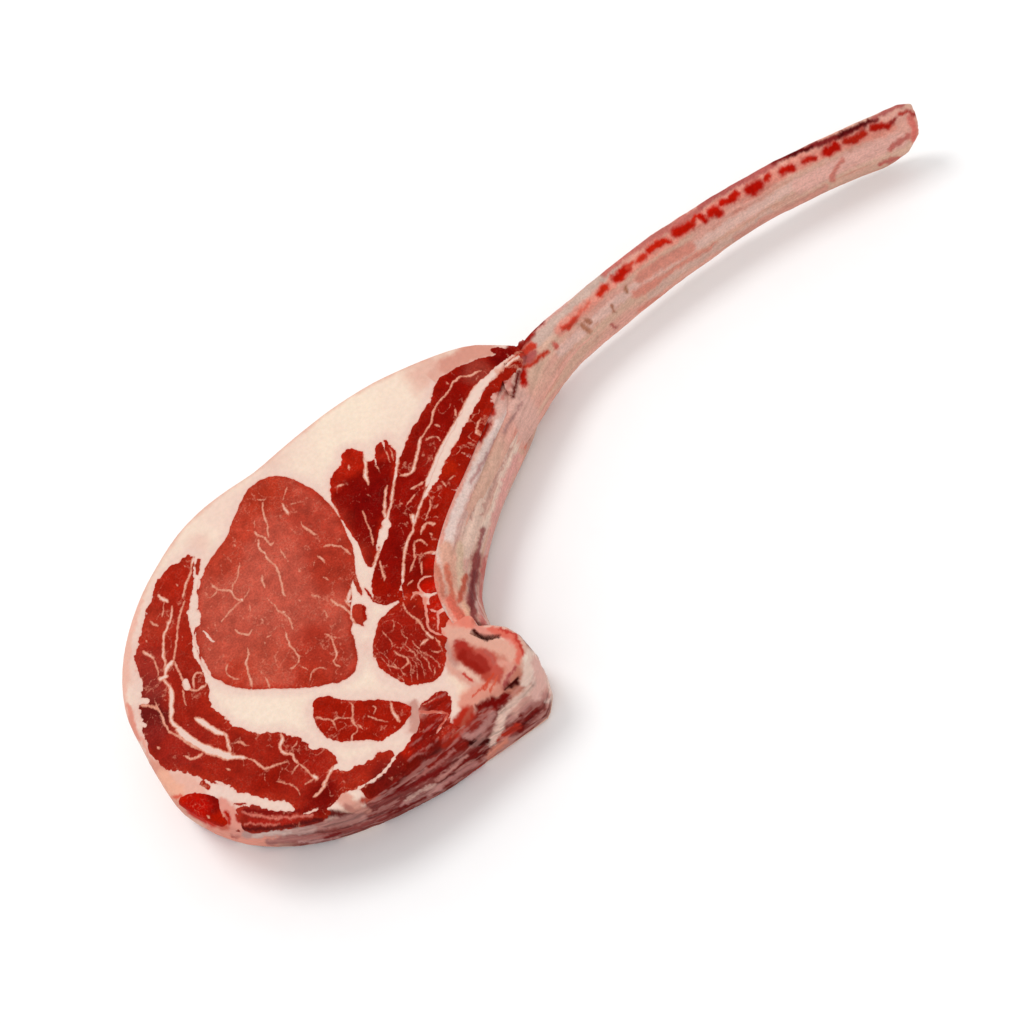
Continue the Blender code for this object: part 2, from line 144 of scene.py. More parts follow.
EYE_VEINS = [
    (1.6, [(257, 498), (261, 500), (266, 498)]),
    (2.0, [(263, 502), (262, 508), (264, 516), (267, 524), (268, 532), (269, 537)]),
    (2.0, [(254, 531), (258, 535), (263, 537), (267, 540), (270, 545), (273, 542)]),
    (1.4, [(247, 530), (249, 530)]),
    (1.0, [(254, 520), (254, 528)]),
    (2.2, [(258, 540), (259, 548), (264, 553), (266, 558), (272, 563), (277, 568), (279, 575), (282, 585),
           (283, 592), (285, 596)]),
    (1.6, [(280, 549), (283, 555), (288, 562)]),
    (1.2, [(287, 487), (284, 495), (283, 500)]),
    (3.2, [(282, 503), (285, 509), (289, 515)]),
    (1.5, [(290, 503), (297, 503)]),
    (2.0, [(301, 521), (303, 526), (308, 530), (313, 533), (317, 535)]),
    (2.2, [(324, 546), (330, 545), (336, 545), (342, 547), (347, 550), (350, 554)]),
    (2.2, [(317, 555), (321, 558), (325, 562)]),
    (1.0, [(315, 560), (313, 566)]),
    (1.6, [(298, 569), (300, 571)]),
    (1.8, [(323, 577), (329, 580)]),
    (1.4, [(240, 562), (239, 570), (237, 578), (233, 584), (232, 590)]),
    (2.0, [(262, 575), (263, 582), (265, 587)]),
    (1.6, [(223, 554), (225, 556)]),
    (1.6, [(233, 544), (235, 546)]),
    (2.0, [(210, 584), (217, 589), (225, 590), (231, 592), (235, 598), (240, 601)]),
    (1.4, [(204, 598), (212, 596), (217, 591)]),
    (3.6, [(240, 599), (242, 601)]),
    (2.0, [(240, 602), (233, 607), (228, 613), (223, 619), (221, 622)]),
    (1.2, [(243, 600), (247, 592), (249, 588)]),
    (2.2, [(250, 605), (251, 610)]),
    (1.6, [(261, 619), (263, 621)]),
    (1.6, [(266, 598), (274, 605), (279, 611), (284, 613), (288, 618), (291, 625), (293, 630)]),
    (3.6, [(282, 611), (284, 613)]),
    (2.0, [(235, 629), (239, 632), (244, 634), (249, 634), (252, 629)]),
    (2.2, [(285, 632), (287, 638), (290, 645), (295, 650), (298, 656), (297, 663), (294, 667), (291, 668)]),
    (1.0, [(296, 650), (301, 650)]),
    (1.0, [(298, 665), (305, 668), (310, 672)]),
    (2.2, [(247, 647), (248, 655), (246, 663), (248, 671), (250, 679), (252, 687)]),
    (1.8, [(228, 663), (226, 669), (228, 675), (233, 678), (240, 679)]),
    (1.6, [(261, 671), (263, 673)]),
    (2.0, [(266, 677), (268, 684), (269, 688)]),
    (1.8, [(310, 681), (311, 674), (316, 669), (321, 667), (326, 668)]),
    (2.0, [(325, 634), (330, 636), (333, 642), (335, 650), (336, 655), (334, 661), (337, 665), (340, 667)]),
    (1.0, [(330, 635), (339, 638)]),
    (2.6, [(331, 600), (338, 604), (344, 607), (349, 612), (353, 620), (357, 627)]),
    (1.8, [(311, 594), (320, 597)]),
    (2.0, [(325, 610), (327, 617)]),
    (2.0, [(266, 637), (270, 635)]),
    (1.4, [(298, 599), (300, 601)]),
    (1.4, [(208, 648), (210, 650)]),
    (1.0, [(263, 640), (265, 645)]),
    (1.2, [(204, 631), (209, 636), (212, 639)]),
    (4.0, [(352, 587), (349, 594), (347, 601)]),
    (2.4, [(345, 600), (348, 603), (351, 607)]),
]

CAP_VEINS = [
    (2.5, [(192, 558), (191, 568), (189, 576), (186, 582), (184, 590), (183, 597)]),
    (2.2, [(184, 600), (182, 606), (180, 612), (178, 622), (177, 633), (175.5, 644), (174.5, 653),
           (173.5, 661)]),
    (3.0, [(172, 606), (171, 615), (167, 626), (164, 634), (163, 644), (163, 653), (165, 665), (165, 674),
           (163, 678), (169, 686), (172, 694), (171, 708)]),
    (4.4, [(171, 706), (171, 720), (176, 726), (182, 731), (189, 737), (196, 743), (203, 749), (211, 753),
           (220, 756), (230, 757), (240, 757), (247, 758)]),
    (7.6, [(176, 729), (188, 738), (199, 745), (211, 750), (224, 755), (232, 757)]),
    (6.0, [(170, 686), (171.5, 696), (171, 706), (171.5, 718)]),
    (2.2, [(247, 758), (254, 760), (260, 765), (265, 768), (272, 766), (280, 763), (288, 761)]),
    (5.0, [(165, 672), (168, 665), (173, 660)]),
    (5.0, [(160, 679), (166, 676)]),
    (2.2, [(174, 661), (177, 668), (181, 676), (184, 683)]),
    (5.0, [(184, 684), (186, 686)]),
    (1.6, [(183, 690), (184, 697), (186, 705)]),
    (2.5, [(186, 685), (190, 689), (196, 690), (201, 687), (205, 686)]),
    (2.0, [(205, 686), (207, 680), (204, 674), (199, 672), (195, 674), (193, 680), (194, 688)]),
    (4.0, [(158, 595), (164, 600), (169, 602)]),
    (1.5, [(164, 602), (163, 610), (162, 616)]),
    (2.2, [(150, 621), (153, 624), (158, 625)]),
    (3.0, [(143, 651), (147, 654), (151, 656), (153, 659)]),
    (2.0, [(145, 640), (147, 642)]),
    (1.6, [(153, 659), (156, 665), (158, 672), (158, 677)]),
    (2.5, [(140, 705), (150, 706), (156, 708), (160, 712), (163, 720), (167, 728), (172, 733), (180, 738),
           (188, 743), (194, 747), (199, 750)]),
    (2.0, [(155, 700), (157, 707)]),
    (1.8, [(184, 565), (186, 567)]),
    (1.8, [(176, 584), (178, 586)]),
    (5.5, [(195, 717.5), (202, 722), (209, 727), (216, 731), (225, 734)]),
    (3.0, [(224, 731), (227, 737), (228, 744), (230, 752)]),
    (3.0, [(183, 756), (190, 758), (196, 757), (203, 753)]),
    (3.0, [(157, 746), (159, 748)]),
    (3.0, [(281, 733), (282, 740), (280, 748), (285, 753), (291, 754), (295, 760), (299, 763)]),
    (1.4, [(291, 754), (294, 746), (297, 740)]),
    (2.2, [(299, 763), (305, 768), (311, 774), (315, 779)]),
    (4.6, [(314, 776), (316, 778)]),
    (1.5, [(299, 764), (294, 769), (291, 774)]),
    (2.0, [(315, 779), (309, 782), (304, 785)]),
    (1.8, [(231, 743), (240, 742), (249, 746)]),
    (2.6, [(226, 768), (230, 770)]),
    (1.6, [(276, 781), (283, 782), (290, 784), (296, 788), (300, 795)]),
    (3.0, [(333, 766), (330, 772), (327, 778), (323, 786), (318, 793), (313, 797)]),
]

FAN_VEINS = [
    (4.0, [(364, 452), (365.5, 463), (365, 474), (368, 484)]),
    (2.0, [(374, 464), (380.5, 472)]),
    (1.6, [(384, 448), (387, 455), (390, 462)]),
    (1.4, [(388, 446), (392, 454), (393, 461)]),
    (3.0, [(387, 485.5), (385.5, 492), (384.5, 503), (384, 512), (385.5, 521)]),
    (1.8, [(363, 511), (367, 522), (371, 533), (373, 545.5)]),
    (2.2, [(348, 465), (349, 470)]),
    (2.6, [(336, 487), (340, 485), (343, 484)]),
    (1.8, [(367, 493), (371, 496)]),
    (3.0, [(398, 456), (397, 464), (395.5, 474), (393, 488), (391, 501), (387.5, 515), (383, 530),
           (380, 547), (375.5, 559), (373, 568)]),
    (5.0, [(383.5, 526), (382, 537)]),
    (3.0, [(327, 497), (333, 506), (339.5, 516)]),
]

STRIP_VEINS = [
    (3.4, [(420, 437), (419, 444), (417, 455.5), (413, 469), (409, 473), (400, 475.5)]),
    (2.4, [(423, 482), (418, 485.5), (410, 489)]),
    (1.8, [(417, 492), (409, 501), (405.5, 505.5)]),
    (2.2, [(401, 502), (402, 504)]),
    (2.2, [(409, 514), (411, 521)]),
    (2.6, [(379, 561), (382, 570), (384.5, 580)]),
    (2.0, [(404, 560), (404, 570), (403, 580)]),
    (1.8, [(413, 563), (410, 570)]),
    (1.8, [(412, 580), (407, 585)]),
    (4.4, [(520, 353), (509, 362.5), (497, 371)]),
    (7.0, [(500, 369), (487.5, 379), (475, 389), (467.5, 402.5), (460, 417.5), (452.5, 430), (444, 446),
           (437.5, 459), (431, 475), (426, 486)]),
    (3.0, [(426, 486), (421, 502.5), (415.5, 518), (413, 528), (408, 539), (404.5, 550), (403, 569),
           (402, 582)]),
    (5.0, [(412, 516), (414, 522)]),
    (2.5, [(481, 370), (470, 375), (460, 376), (456, 380), (452.5, 382.5), (449, 389), (444, 396),
           (436, 405), (432.5, 412.5), (431, 421), (426, 430), (421, 437.5)]),
    (2.0, [(446, 382), (448, 384)]),
    (2.2, [(435, 424), (440, 426)]),
    (2.0, [(425, 440), (435, 436), (441, 440)]),
    (2.4, [(455, 409), (456, 416)]),
    (2.4, [(442, 481), (445.5, 487)]),
    (2.4, [(449, 479), (455, 475)]),
    (1.6, [(462.5, 452.5), (467, 453.5)]),
    (2.0, [(430, 499), (429, 510), (425.5, 519)]),
    (2.8, [(420, 534.5), (423, 527), (427, 522), (432, 523), (435.5, 524)]),
    (2.0, [(430, 532), (432, 534)]),
    (2.0, [(414.5, 541), (413, 548), (414.5, 557), (412, 565.5), (410, 571)]),
    (1.8, [(414.5, 542), (420, 540), (427, 544.5)]),
    (2.6, [(423, 554), (429, 551), (435.5, 548)]),
    (2.2, [(421, 561), (421, 567), (422, 574)]),
    (2.2, [(480, 417.5), (477.5, 425), (476, 432.5), (479, 439)]),
    (2.0, [(452, 438), (456, 441), (453, 446)]),
]

DEEP_VEINS = [
    (2.0, [(402, 602), (405, 608), (410, 615), (414, 617), (419, 622), (422, 627), (425, 631)]),
    (3.0, [(425, 630), (430, 636), (433, 637)]),
    (2.6, [(420, 645), (425, 640), (428, 639)]),
    (1.0, [(400, 630), (404, 635), (407, 639), (405, 644), (401, 648), (395, 647)]),
    (0.9, [(382, 631), (387, 636), (391, 640), (393, 645), (390, 650)]),
    (0.8, [(392, 618), (394, 624), (393, 630)]),
    (1.9, [(394, 651), (398, 654), (404, 656), (407, 659), (408, 663), (404, 666), (401, 669)]),
    (1.5, [(401, 669), (403, 673), (407, 677)]),
    (1.1, [(388, 665), (394, 667), (401, 669)]),
    (0.9, [(406, 645), (411, 650), (415, 655), (419, 660), (422, 666), (424, 672), (424, 679)]),
    (1.0, [(410, 662), (411, 668), (411, 675), (412, 682)]),
    (0.9, [(412, 659), (416, 665), (417, 672), (418, 680)]),
    (0.9, [(413, 648), (419, 653), (425, 658), (429, 664), (431, 671)]),
    (0.9, [(419, 650), (426, 653), (432, 657), (437, 662), (440, 668)]),
    (0.9, [(396, 659), (393, 663), (396, 667)]),
    (1.0, [(379, 651), (385, 655), (389, 660), (388, 667)]),
    (0.8, [(381, 659), (386, 663), (390, 670)]),
    (0.8, [(398, 673), (401, 678), (405, 682)]),
    (1.6, [(435, 637), (439, 643), (442, 649)]),
    (1.4, [(431, 651), (437, 652), (443, 650)]),
    (1.0, [(435, 667), (434, 673), (430, 678)]),
    (1.2, [(412, 641), (415, 645), (419, 648)]),
    (1.8, [(315, 718), (325, 719), (332, 720), (335, 728)]),
    (1.6, [(332, 720), (338, 717), (350, 718), (353, 722)]),
    (2.0, [(350, 701), (353, 707), (353, 720), (357.5, 730), (352.5, 735), (352, 742)]),
    (1.6, [(372, 705), (375, 708), (373, 713)]),
    (1.6, [(367, 716), (375, 718), (388, 722)]),
    (2.0, [(357.5, 725), (363, 728)]),
    (3.2, [(390, 700), (393, 713), (400, 721)]),
    # painted highlights: these two pale spots are glints on the rounded lower edge, drawn as fat
    (3.0, [(207, 815), (209, 817)]),
    (2.2, [(221, 812), (224, 816)]),
    (1.3, [(420, 705), (428, 702), (436, 698)]),
]

VEINS = EYE_VEINS + CAP_VEINS + FAN_VEINS + STRIP_VEINS + DEEP_VEINS

# Where a muscle's lean reaches past its solid's smooth outline, or stays short of it: by how many pixels,
# and within how many pixels of the line.
GROWTH = {
    "eye_muscle": [
        (1.5, 12, [(250, 492), (241, 508), (234, 525)]),
        (1.5, 12, [(222, 545), (210, 560), (201, 577)]),
        (4.0, 12, [(330, 508), (338, 518), (345, 532)]),
        (6.0, 12, [(349, 543), (352, 556), (351, 572)]),
        (5.0, 10, [(347, 598), (347, 608), (350, 622)]),
        (1.2, 12, [(225, 687), (260, 690), (300, 690), (318, 687)]),
        (1.5, 10, [(340, 682), (352, 674)]),
        (2.0, 8, [(197, 632), (198, 642)]),
        (2.0, 8, [(206, 662), (214, 675)]),
        (1.5, 9, [(312, 490), (325, 500)]),
    ],
    "fan_muscle": [
        (7.0, 12, [(340, 500), (347, 515), (356, 532)]),
        (5.5, 9, [(359, 537), (365, 550), (368, 560)]),
        (1.5, 10, [(333, 480), (340, 462), (346, 455)]),
        (2.0, 10, [(393, 452), (392, 470), (388, 490)]),
        (4.0, 8, [(384, 543), (378, 558), (373, 566)]),
        (4.0, 9, [(387, 500), (385, 514)]),
    ],
    "outer_rib_strip": [
        (1.5, 10, [(478, 361), (458, 365), (440, 378)]),
        (2.0, 9, [(436, 382), (431, 395)]),
        (1.5, 10, [(424, 405), (413, 425), (405, 440)]),
        (9.0, 12, [(399, 484), (396, 500), (392, 516)]),
        (3.5, 9, [(388, 532), (383, 550), (377, 565)]),
        (1.5, 9, [(377, 572), (376, 590)]),
        (4.0, 9, [(374, 600), (388, 604), (398, 600)]),
        (2.5, 9, [(512, 352), (490, 370), (470, 388), (458, 412)]),
        (4.5, 9, [(452, 425), (440, 446), (432, 468), (426, 485), (420, 500)]),
        (4.5, 9, [(416, 510), (411, 522), (406, 540), (403, 560)]),
    ],
    "inner_rib_strip": [
        (-1.5, 9, [(457, 440), (445, 458), (433, 485)]),
        (5.5, 8, [(482, 438), (470, 462), (458, 488), (449, 510), (442, 530), (437, 552)]),
        (3.0, 9, [(423, 500), (418, 514)]),
        (6.5, 10, [(417, 527), (411, 545), (409, 565), (409, 585)]),
    ],
    "multifidus": [
        (2.0, 12, [(382, 620), (379, 635), (377, 650)]),
        (-1.5, 9, [(384, 670), (392, 679)]),
        (1.5, 9, [(405, 686), (425, 684), (438, 676)]),
        (1.8, 9, [(444, 640), (447, 655), (444, 668)]),
    ],
    "complexus": [
        (3.0, 9, [(317, 700), (328, 697)]),
        (-2.0, 9, [(342, 698), (370, 698)]),
        (-2.0, 9, [(388, 737), (400, 729), (407, 722)]),
    ],
    "chine_muscle": [
        (7.0, 16, [(386, 792), (405, 778), (425, 763), (445, 748), (462, 730), (476, 712)]),
        (3.0, 10, [(398, 762), (405, 750), (412, 738)]),
    ],
    "lip_muscle": [
        (8.0, 14, [(312, 828), (322, 824)]),
    ],
    "edge_muscle": [
        (4.5, 12, [(182, 797), (198, 796), (214, 800)]),
        (-7.5, 15, [(228, 808), (233, 818), (234, 832)]),
    ],
    "cap_muscle": [
        (2.5, 9, [(168, 769), (184, 773), (200, 780), (215, 784)]),
        (3.5, 10, [(240, 790), (265, 797), (288, 802)]),
        (9.0, 14, [(300, 807), (310, 812), (318, 814)]),
        (-4.5, 10, [(141, 684), (143, 696)]),
        (-2.0, 8, [(142, 708), (145, 722)]),
        (3.5, 9, [(157, 582), (151, 596), (148, 608)]),
        (4.5, 10, [(152, 748), (158, 758), (166, 768)]),
        (5.5, 9, [(198, 668), (203, 680), (206, 690)]),
        (3.0, 9, [(207, 698), (213, 710), (228, 720)]),
        (4.5, 10, [(189, 630), (190, 645), (193, 662)]),
        (3.0, 9, [(268, 735), (278, 735)]),
        (3.0, 9, [(318, 753), (332, 755), (336, 760)]),
        (-4.0, 7, [(310, 747), (314, 750)]),
        (-3.0, 9, [(346, 768), (362, 764), (380, 756)]),
        (-3.0, 8, [(340, 766), (348, 769)]),
        (7.5, 10, [(354, 789), (368, 780), (381, 769), (391, 757)]),
        (3.0, 8, [(172, 566), (164, 574)]),
    ],
}

# Small pieces of lean in the fat, and lean that reaches further into it.
LEAN_MARKS = [
    (9.0, [(347, 455), (358, 455)]),
    (5.0, [(378, 446), (381, 456)]),
    (5.0, [(385, 442), (390, 452)]),
    (5.0, [(393, 453), (392, 460)]),
    (4.0, [(369, 463), (370, 470)]),
    (4.0, [(188, 556), (186, 562)]),
    (4.0, [(198, 560), (197, 572)]),
    (4.0, [(354, 573), (357, 584), (361, 594)]),
    (3.0, [(365, 588), (371, 598)]),
    (15.5, [(427.5, 585.5), (429, 585.5)]),
    (12.0, [(430, 560), (430, 568)]),
    (9.0, [(406, 585), (408, 596)]),
    (11.0, [(416, 600), (416, 613)]),
    (11.5, [(434.5, 600.5), (435.5, 604)]),
    (8.0, [(430.5, 610), (431.5, 621)]),
    (6.0, [(441, 616), (442.5, 624)]),
    (8.0, [(438, 636), (443, 640)]),
    (13.5, [(358, 610), (359, 617)]),
    (3.0, [(356, 622), (364, 625)]),
    (7.0, [(421, 705), (430, 702), (438, 695), (446, 693)]),
    (5.0, [(424, 708), (437, 706), (449, 706)]),
    (5.5, [(423, 726), (430, 722), (441, 713)]),
    (6.0, [(398, 758), (405, 752)]),
    (7.5, [(492, 349), (502, 351), (516, 352)]),
    (9.0, [(521, 357), (512, 364), (503, 375), (494, 384), (485, 394)]),
    (4.0, [(505, 374), (502, 383), (498, 393)]),
    (4.5, [(519, 370), (516.5, 383), (513, 397)]),
    (8.0, [(506, 349), (516, 349), (522, 344)]),
    (4.0, [(400, 592), (401, 600)]),
    (3.0, [(225, 812), (229, 817)]),
    (3.0, [(236, 815), (239, 821)]),
    (7.0, [(236, 832), (237, 838)]),
    (7.0, [(523, 376), (524, 382)]),
    (8.0, [(491, 411), (492, 411)]),
    (7.0, [(484, 416), (481, 430)]),
    (4.6, [(202, 783), (208, 787)]),
    (3.0, [(234, 804), (246, 804)]),
    (5.0, [(252, 807), (258, 808)]),
    (9.0, [(296, 811), (312, 815), (328, 812)]),
    (5.0, [(166, 766), (172, 766)]),
]

# Fat that reaches into the lean.
FAT_MARKS = [
    (5.5, [(203.5, 558), (201.5, 568), (199.5, 578)]),
    (3.5, [(199, 580), (197.5, 588)]),
    (7.5, [(195, 592), (193.5, 602), (194, 612)]),
    (9.0, [(195.5, 614), (195.5, 622)]),
    (2.2, [(195, 632), (195.5, 642), (199, 653)]),
    (2.6, [(201, 657), (205.5, 668), (212, 679)]),
    (11.0, [(369, 438), (369, 456)]),
    (2.0, [(374.5, 458), (376, 465)]),
    (1.8, [(381.5, 439), (384.5, 448)]),
    (2.2, [(203, 630), (208, 636), (214, 641)]),
    (2.0, [(420, 580), (424, 576.5), (430, 576), (435, 579)]),
    (1.6, [(420, 579), (418.5, 585), (420, 590), (424, 594)]),
    (1.6, [(435, 579), (438, 585), (436, 590), (431, 594)]),
    (1.7, [(410, 600), (415, 593), (422, 594.5), (430, 595), (438, 592)]),
    (2.0, [(424, 596), (425, 606), (426, 616), (428, 626), (434, 632), (441, 634)]),
    (2.0, [(437, 610), (437.5, 620), (438, 630)]),
    (1.8, [(428, 609), (434, 610), (441, 611)]),
    (3.0, [(350, 589), (348, 597)]),
    (2.6, [(346, 601), (352, 600)]),
    (5.0, [(387, 524), (384, 537)]),
    (6.0, [(185, 682), (187, 687)]),
    (2.0, [(193, 556), (191.5, 564)]),
    (3.0, [(333, 441), (339, 452)]),
    (6.5, [(146, 701), (138, 701)]),
    (4.0, [(138, 723), (144, 725)]),
    (3.0, [(225, 785), (215, 781)]),
    (1.6, [(512, 374), (509, 384), (505, 396)]),
    (2.0, [(304, 814), (311, 811), (318, 808)]),
    (4.5, [(345, 762), (339, 765), (333, 769)]),
    (3.0, [(412, 714), (420, 711), (428, 712), (436, 711), (447, 712)]),
    (2.0, [(436, 732), (440, 726), (444, 720), (448, 713)]),
    (6.0, [(413, 706), (415, 716), (416, 728)]),
]

# ------------------------------------------------------------------------------------------- the colours
# Each is an sRGB triple from 0 to 255, as the picture should show it.

LIGHT_SHARE = 0.86  # the studio's light is a little over 1
SHEEN = 0.001  # what the surface's shine adds to every colour
DARKEST = 0.0006  # least linear value

# The lean's core and edge, how jagged its border is, its rise above the fat and how far it grows past the
# solid, in mm, and how close the fine threads of fat are.
Lean = namedtuple("Lean", "core edge jag rise growth web")
LEANS = {
    "eye_muscle": Lean((190, 78, 60), (174, 48, 30), 0.4, 0.2, 0.1, 0.08),
    "cap_muscle": Lean((158, 34, 20), (168, 40, 22), 1.4, 0.2, 0.2, 0.1),
    "fan_muscle": Lean((130, 12, 3), (168, 26, 10), 1.0, 0.15, 0.25, 0.0),
    "outer_rib_strip": Lean((142, 15, 3), (152, 22, 8), 0.8, 0.15, 0.25, 0.12),
    "inner_rib_strip": Lean((152, 20, 6), (160, 26, 10), 1.2, 0.15, 0.2, 0.24),
    "multifidus": Lean((152, 26, 14), (168, 34, 16), 1.0, 0.2, 0.2, 0.12),
    "complexus": Lean((160, 26, 10), (166, 28, 10), 0.8, 0.2, 0.1, 0.1),
    "chine_muscle": Lean((134, 24, 14), (146, 26, 14), 1.2, 0.2, 0.1, 0.1),
    "lip_muscle": Lean((150, 34, 22), (160, 44, 30), 1.0, 0.2, 0.1, 0.1),
    "edge_muscle": Lean((186, 26, 6), (178, 28, 10), 0.8, 0.2, 0.0, 0.0),
}

CREAM = (250, 227, 205)
SEAM_FAT = (238, 204, 190)
PINK_FAT = (230, 158, 140)
SALMON = (222, 152, 132)
PALE_SALMON = (236, 188, 170)
VEIN_PINK = (224, 146, 120)
SPONGY_BONE = (206, 128, 108)
MAROON = (112, 18, 14)
PURPLE = (138, 66, 60)
RED = (184, 50, 34)
BRIGHT_RED = (204, 34, 12)
MEMBRANE_PINK = (206, 148, 138)
MEMBRANE_WHITE = (228, 196, 184)
BONE_PINK = (230, 168, 152)
BONE_BEIGE = (222, 178, 156)
BLACK_RED = (66, 8, 6)

TORN_WAY = [(400, 790), (480, 730)]  # pixels along the strands of the chine muscle
TORN_DEPTH = (17, 9)  # mm from the outline between which these strands come in

PATCH_REACH, PATCH_FADE = 1.1, (1.35, 0.45)  # a patch's size, and its soft edge as shares of that
STROKE_WAVER, STROKE_FRAY = 1.4, 0.7  # pixels
SIDE_FACING, RIB_FACING = (-0.14, -0.04), (0.0, 0.15)  # how much a surface faces the camera to be painted

# Soft patches on the upper face: pixel, radius in pixels, colour and strength.
LEAN_PATCHES = [
    ((262, 588), 46, (194, 86, 68), 0.7),
    ((337, 565), 30, (170, 48, 30), 0.85),
    ((322, 655), 34, (168, 44, 27), 0.8),
    ((268, 496), 26, (176, 50, 28), 0.9),
    ((222, 560), 22, (182, 58, 38), 0.8),
    ((236, 530), 20, (180, 56, 36), 0.8),
    ((262, 662), 26, (184, 74, 54), 0.6),
    ((236, 678), 16, (177, 50, 30), 0.7),
    ((315, 680), 16, (172, 44, 24), 0.8),
    ((318, 522), 28, (176, 54, 37), 0.7),
    ((288, 502), 22, (180, 60, 42), 0.5),
    ((154, 625), 20, (176, 52, 34), 0.8),
    ((148, 668), 26, (158, 48, 38), 0.7),
    ((152, 718), 22, (112, 26, 22), 1.0),
    ((152, 690), 14, (134, 40, 34), 0.8),
    ((150, 735), 14, (138, 34, 28), 0.7),
    ((180, 750), 26, (148, 34, 26), 0.6),
    ((172, 580), 20, (176, 36, 18), 0.6),
    ((187, 640), 20, (168, 34, 18), 0.5),
    ((300, 745), 24, (152, 20, 8), 0.6),
    ((322, 800), 16, (118, 10, 3), 0.9),
    ((212, 804), 12, (126, 10, 4), 0.9),
    ((194, 808), 14, (186, 16, 2), 0.9),
    ((268, 778), 18, (146, 22, 8), 0.8),
    ((372, 500), 22, (118, 7, 2), 0.7),
    ((348, 462), 16, (190, 34, 14), 0.8),
    ((334, 484), 10, (176, 30, 12), 0.7),
    ((384, 450), 14, (176, 34, 18), 0.7),
    ((395, 545), 20, (136, 12, 2), 0.8),
    ((376, 590), 12, (160, 22, 6), 0.7),
    ((408, 570), 16, (128, 12, 3), 0.7),
    ((427, 586), 7, (206, 24, 5), 1.0),
    ((430, 563), 7, (188, 20, 4), 0.8),
    ((434, 604), 8, (188, 22, 6), 0.8),
    ((431, 617), 5, (196, 26, 8), 0.7),
    ((427, 452), 18, (143, 28, 16), 0.5),
    ((476, 370), 14, (164, 62, 48), 0.7),
    ((502, 353), 14, (112, 6, 3), 0.8),
    ((468, 425), 20, (148, 20, 7), 0.5),
    ((448, 468), 9, (176, 34, 10), 0.7),
    ((408, 748), 9, (186, 32, 12), 0.9),
    ((428, 750), 13, (98, 22, 18), 0.8),
    ((452, 728), 14, (178, 42, 26), 0.7),
    ((438, 703), 18, (170, 30, 16), 0.8),
    ((420, 740), 12, (152, 22, 12), 0.7),
    ((385, 772), 16, (112, 22, 18), 0.7),
    ((421, 713), 7, (206, 122, 106), 0.8),
    ((432, 727), 7, (150, 16, 10), 0.6),
]
FAT_PATCHES = [
    ((474, 353), 22, (212, 134, 114), 1.0),
    ((448, 364), 16, (220, 166, 148), 0.85),
    ((428, 376), 24, (230, 176, 158), 0.85),
    ((366, 650), 12, (232, 190, 176), 0.85),
    ((198, 545), 14, (236, 196, 180), 0.8),
    ((340, 405), 40, (250, 228, 206), 0.9),
    ((270, 455), 18, (234, 194, 178), 0.6),
    ((225, 505), 26, (243, 210, 194), 0.7),
    ((172, 787), 24, (226, 120, 100), 1.0),
    ((166, 770), 12, (238, 180, 160), 0.5),
    ((140, 745), 18, (238, 182, 164), 0.7),
    ((134, 715), 10, (228, 142, 125), 0.7),
    ((135, 660), 24, (232, 172, 152), 0.9),
    ((494, 398), 9, (222, 160, 146), 0.9),
    ((250, 712), 36, (249, 226, 206), 0.8),
    ((360, 670), 18, (249, 226, 205), 0.7),
    ((232, 792), 20, (236, 200, 190), 0.6),
    ((440, 600), 10, (236, 176, 156), 0.7),
    ((455, 690), 16, (246, 214, 190), 0.8),
    ((414, 720), 14, (204, 104, 86), 1.0),
    ((420, 733), 8, (214, 140, 122), 0.8),
    ((428, 712), 8, (214, 140, 122), 0.8),
    ((240, 822), 14, (222, 120, 96), 0.8),
    ((228, 836), 14, (226, 140, 116), 0.8),
    ((470, 700), 14, (234, 160, 138), 0.8),
]
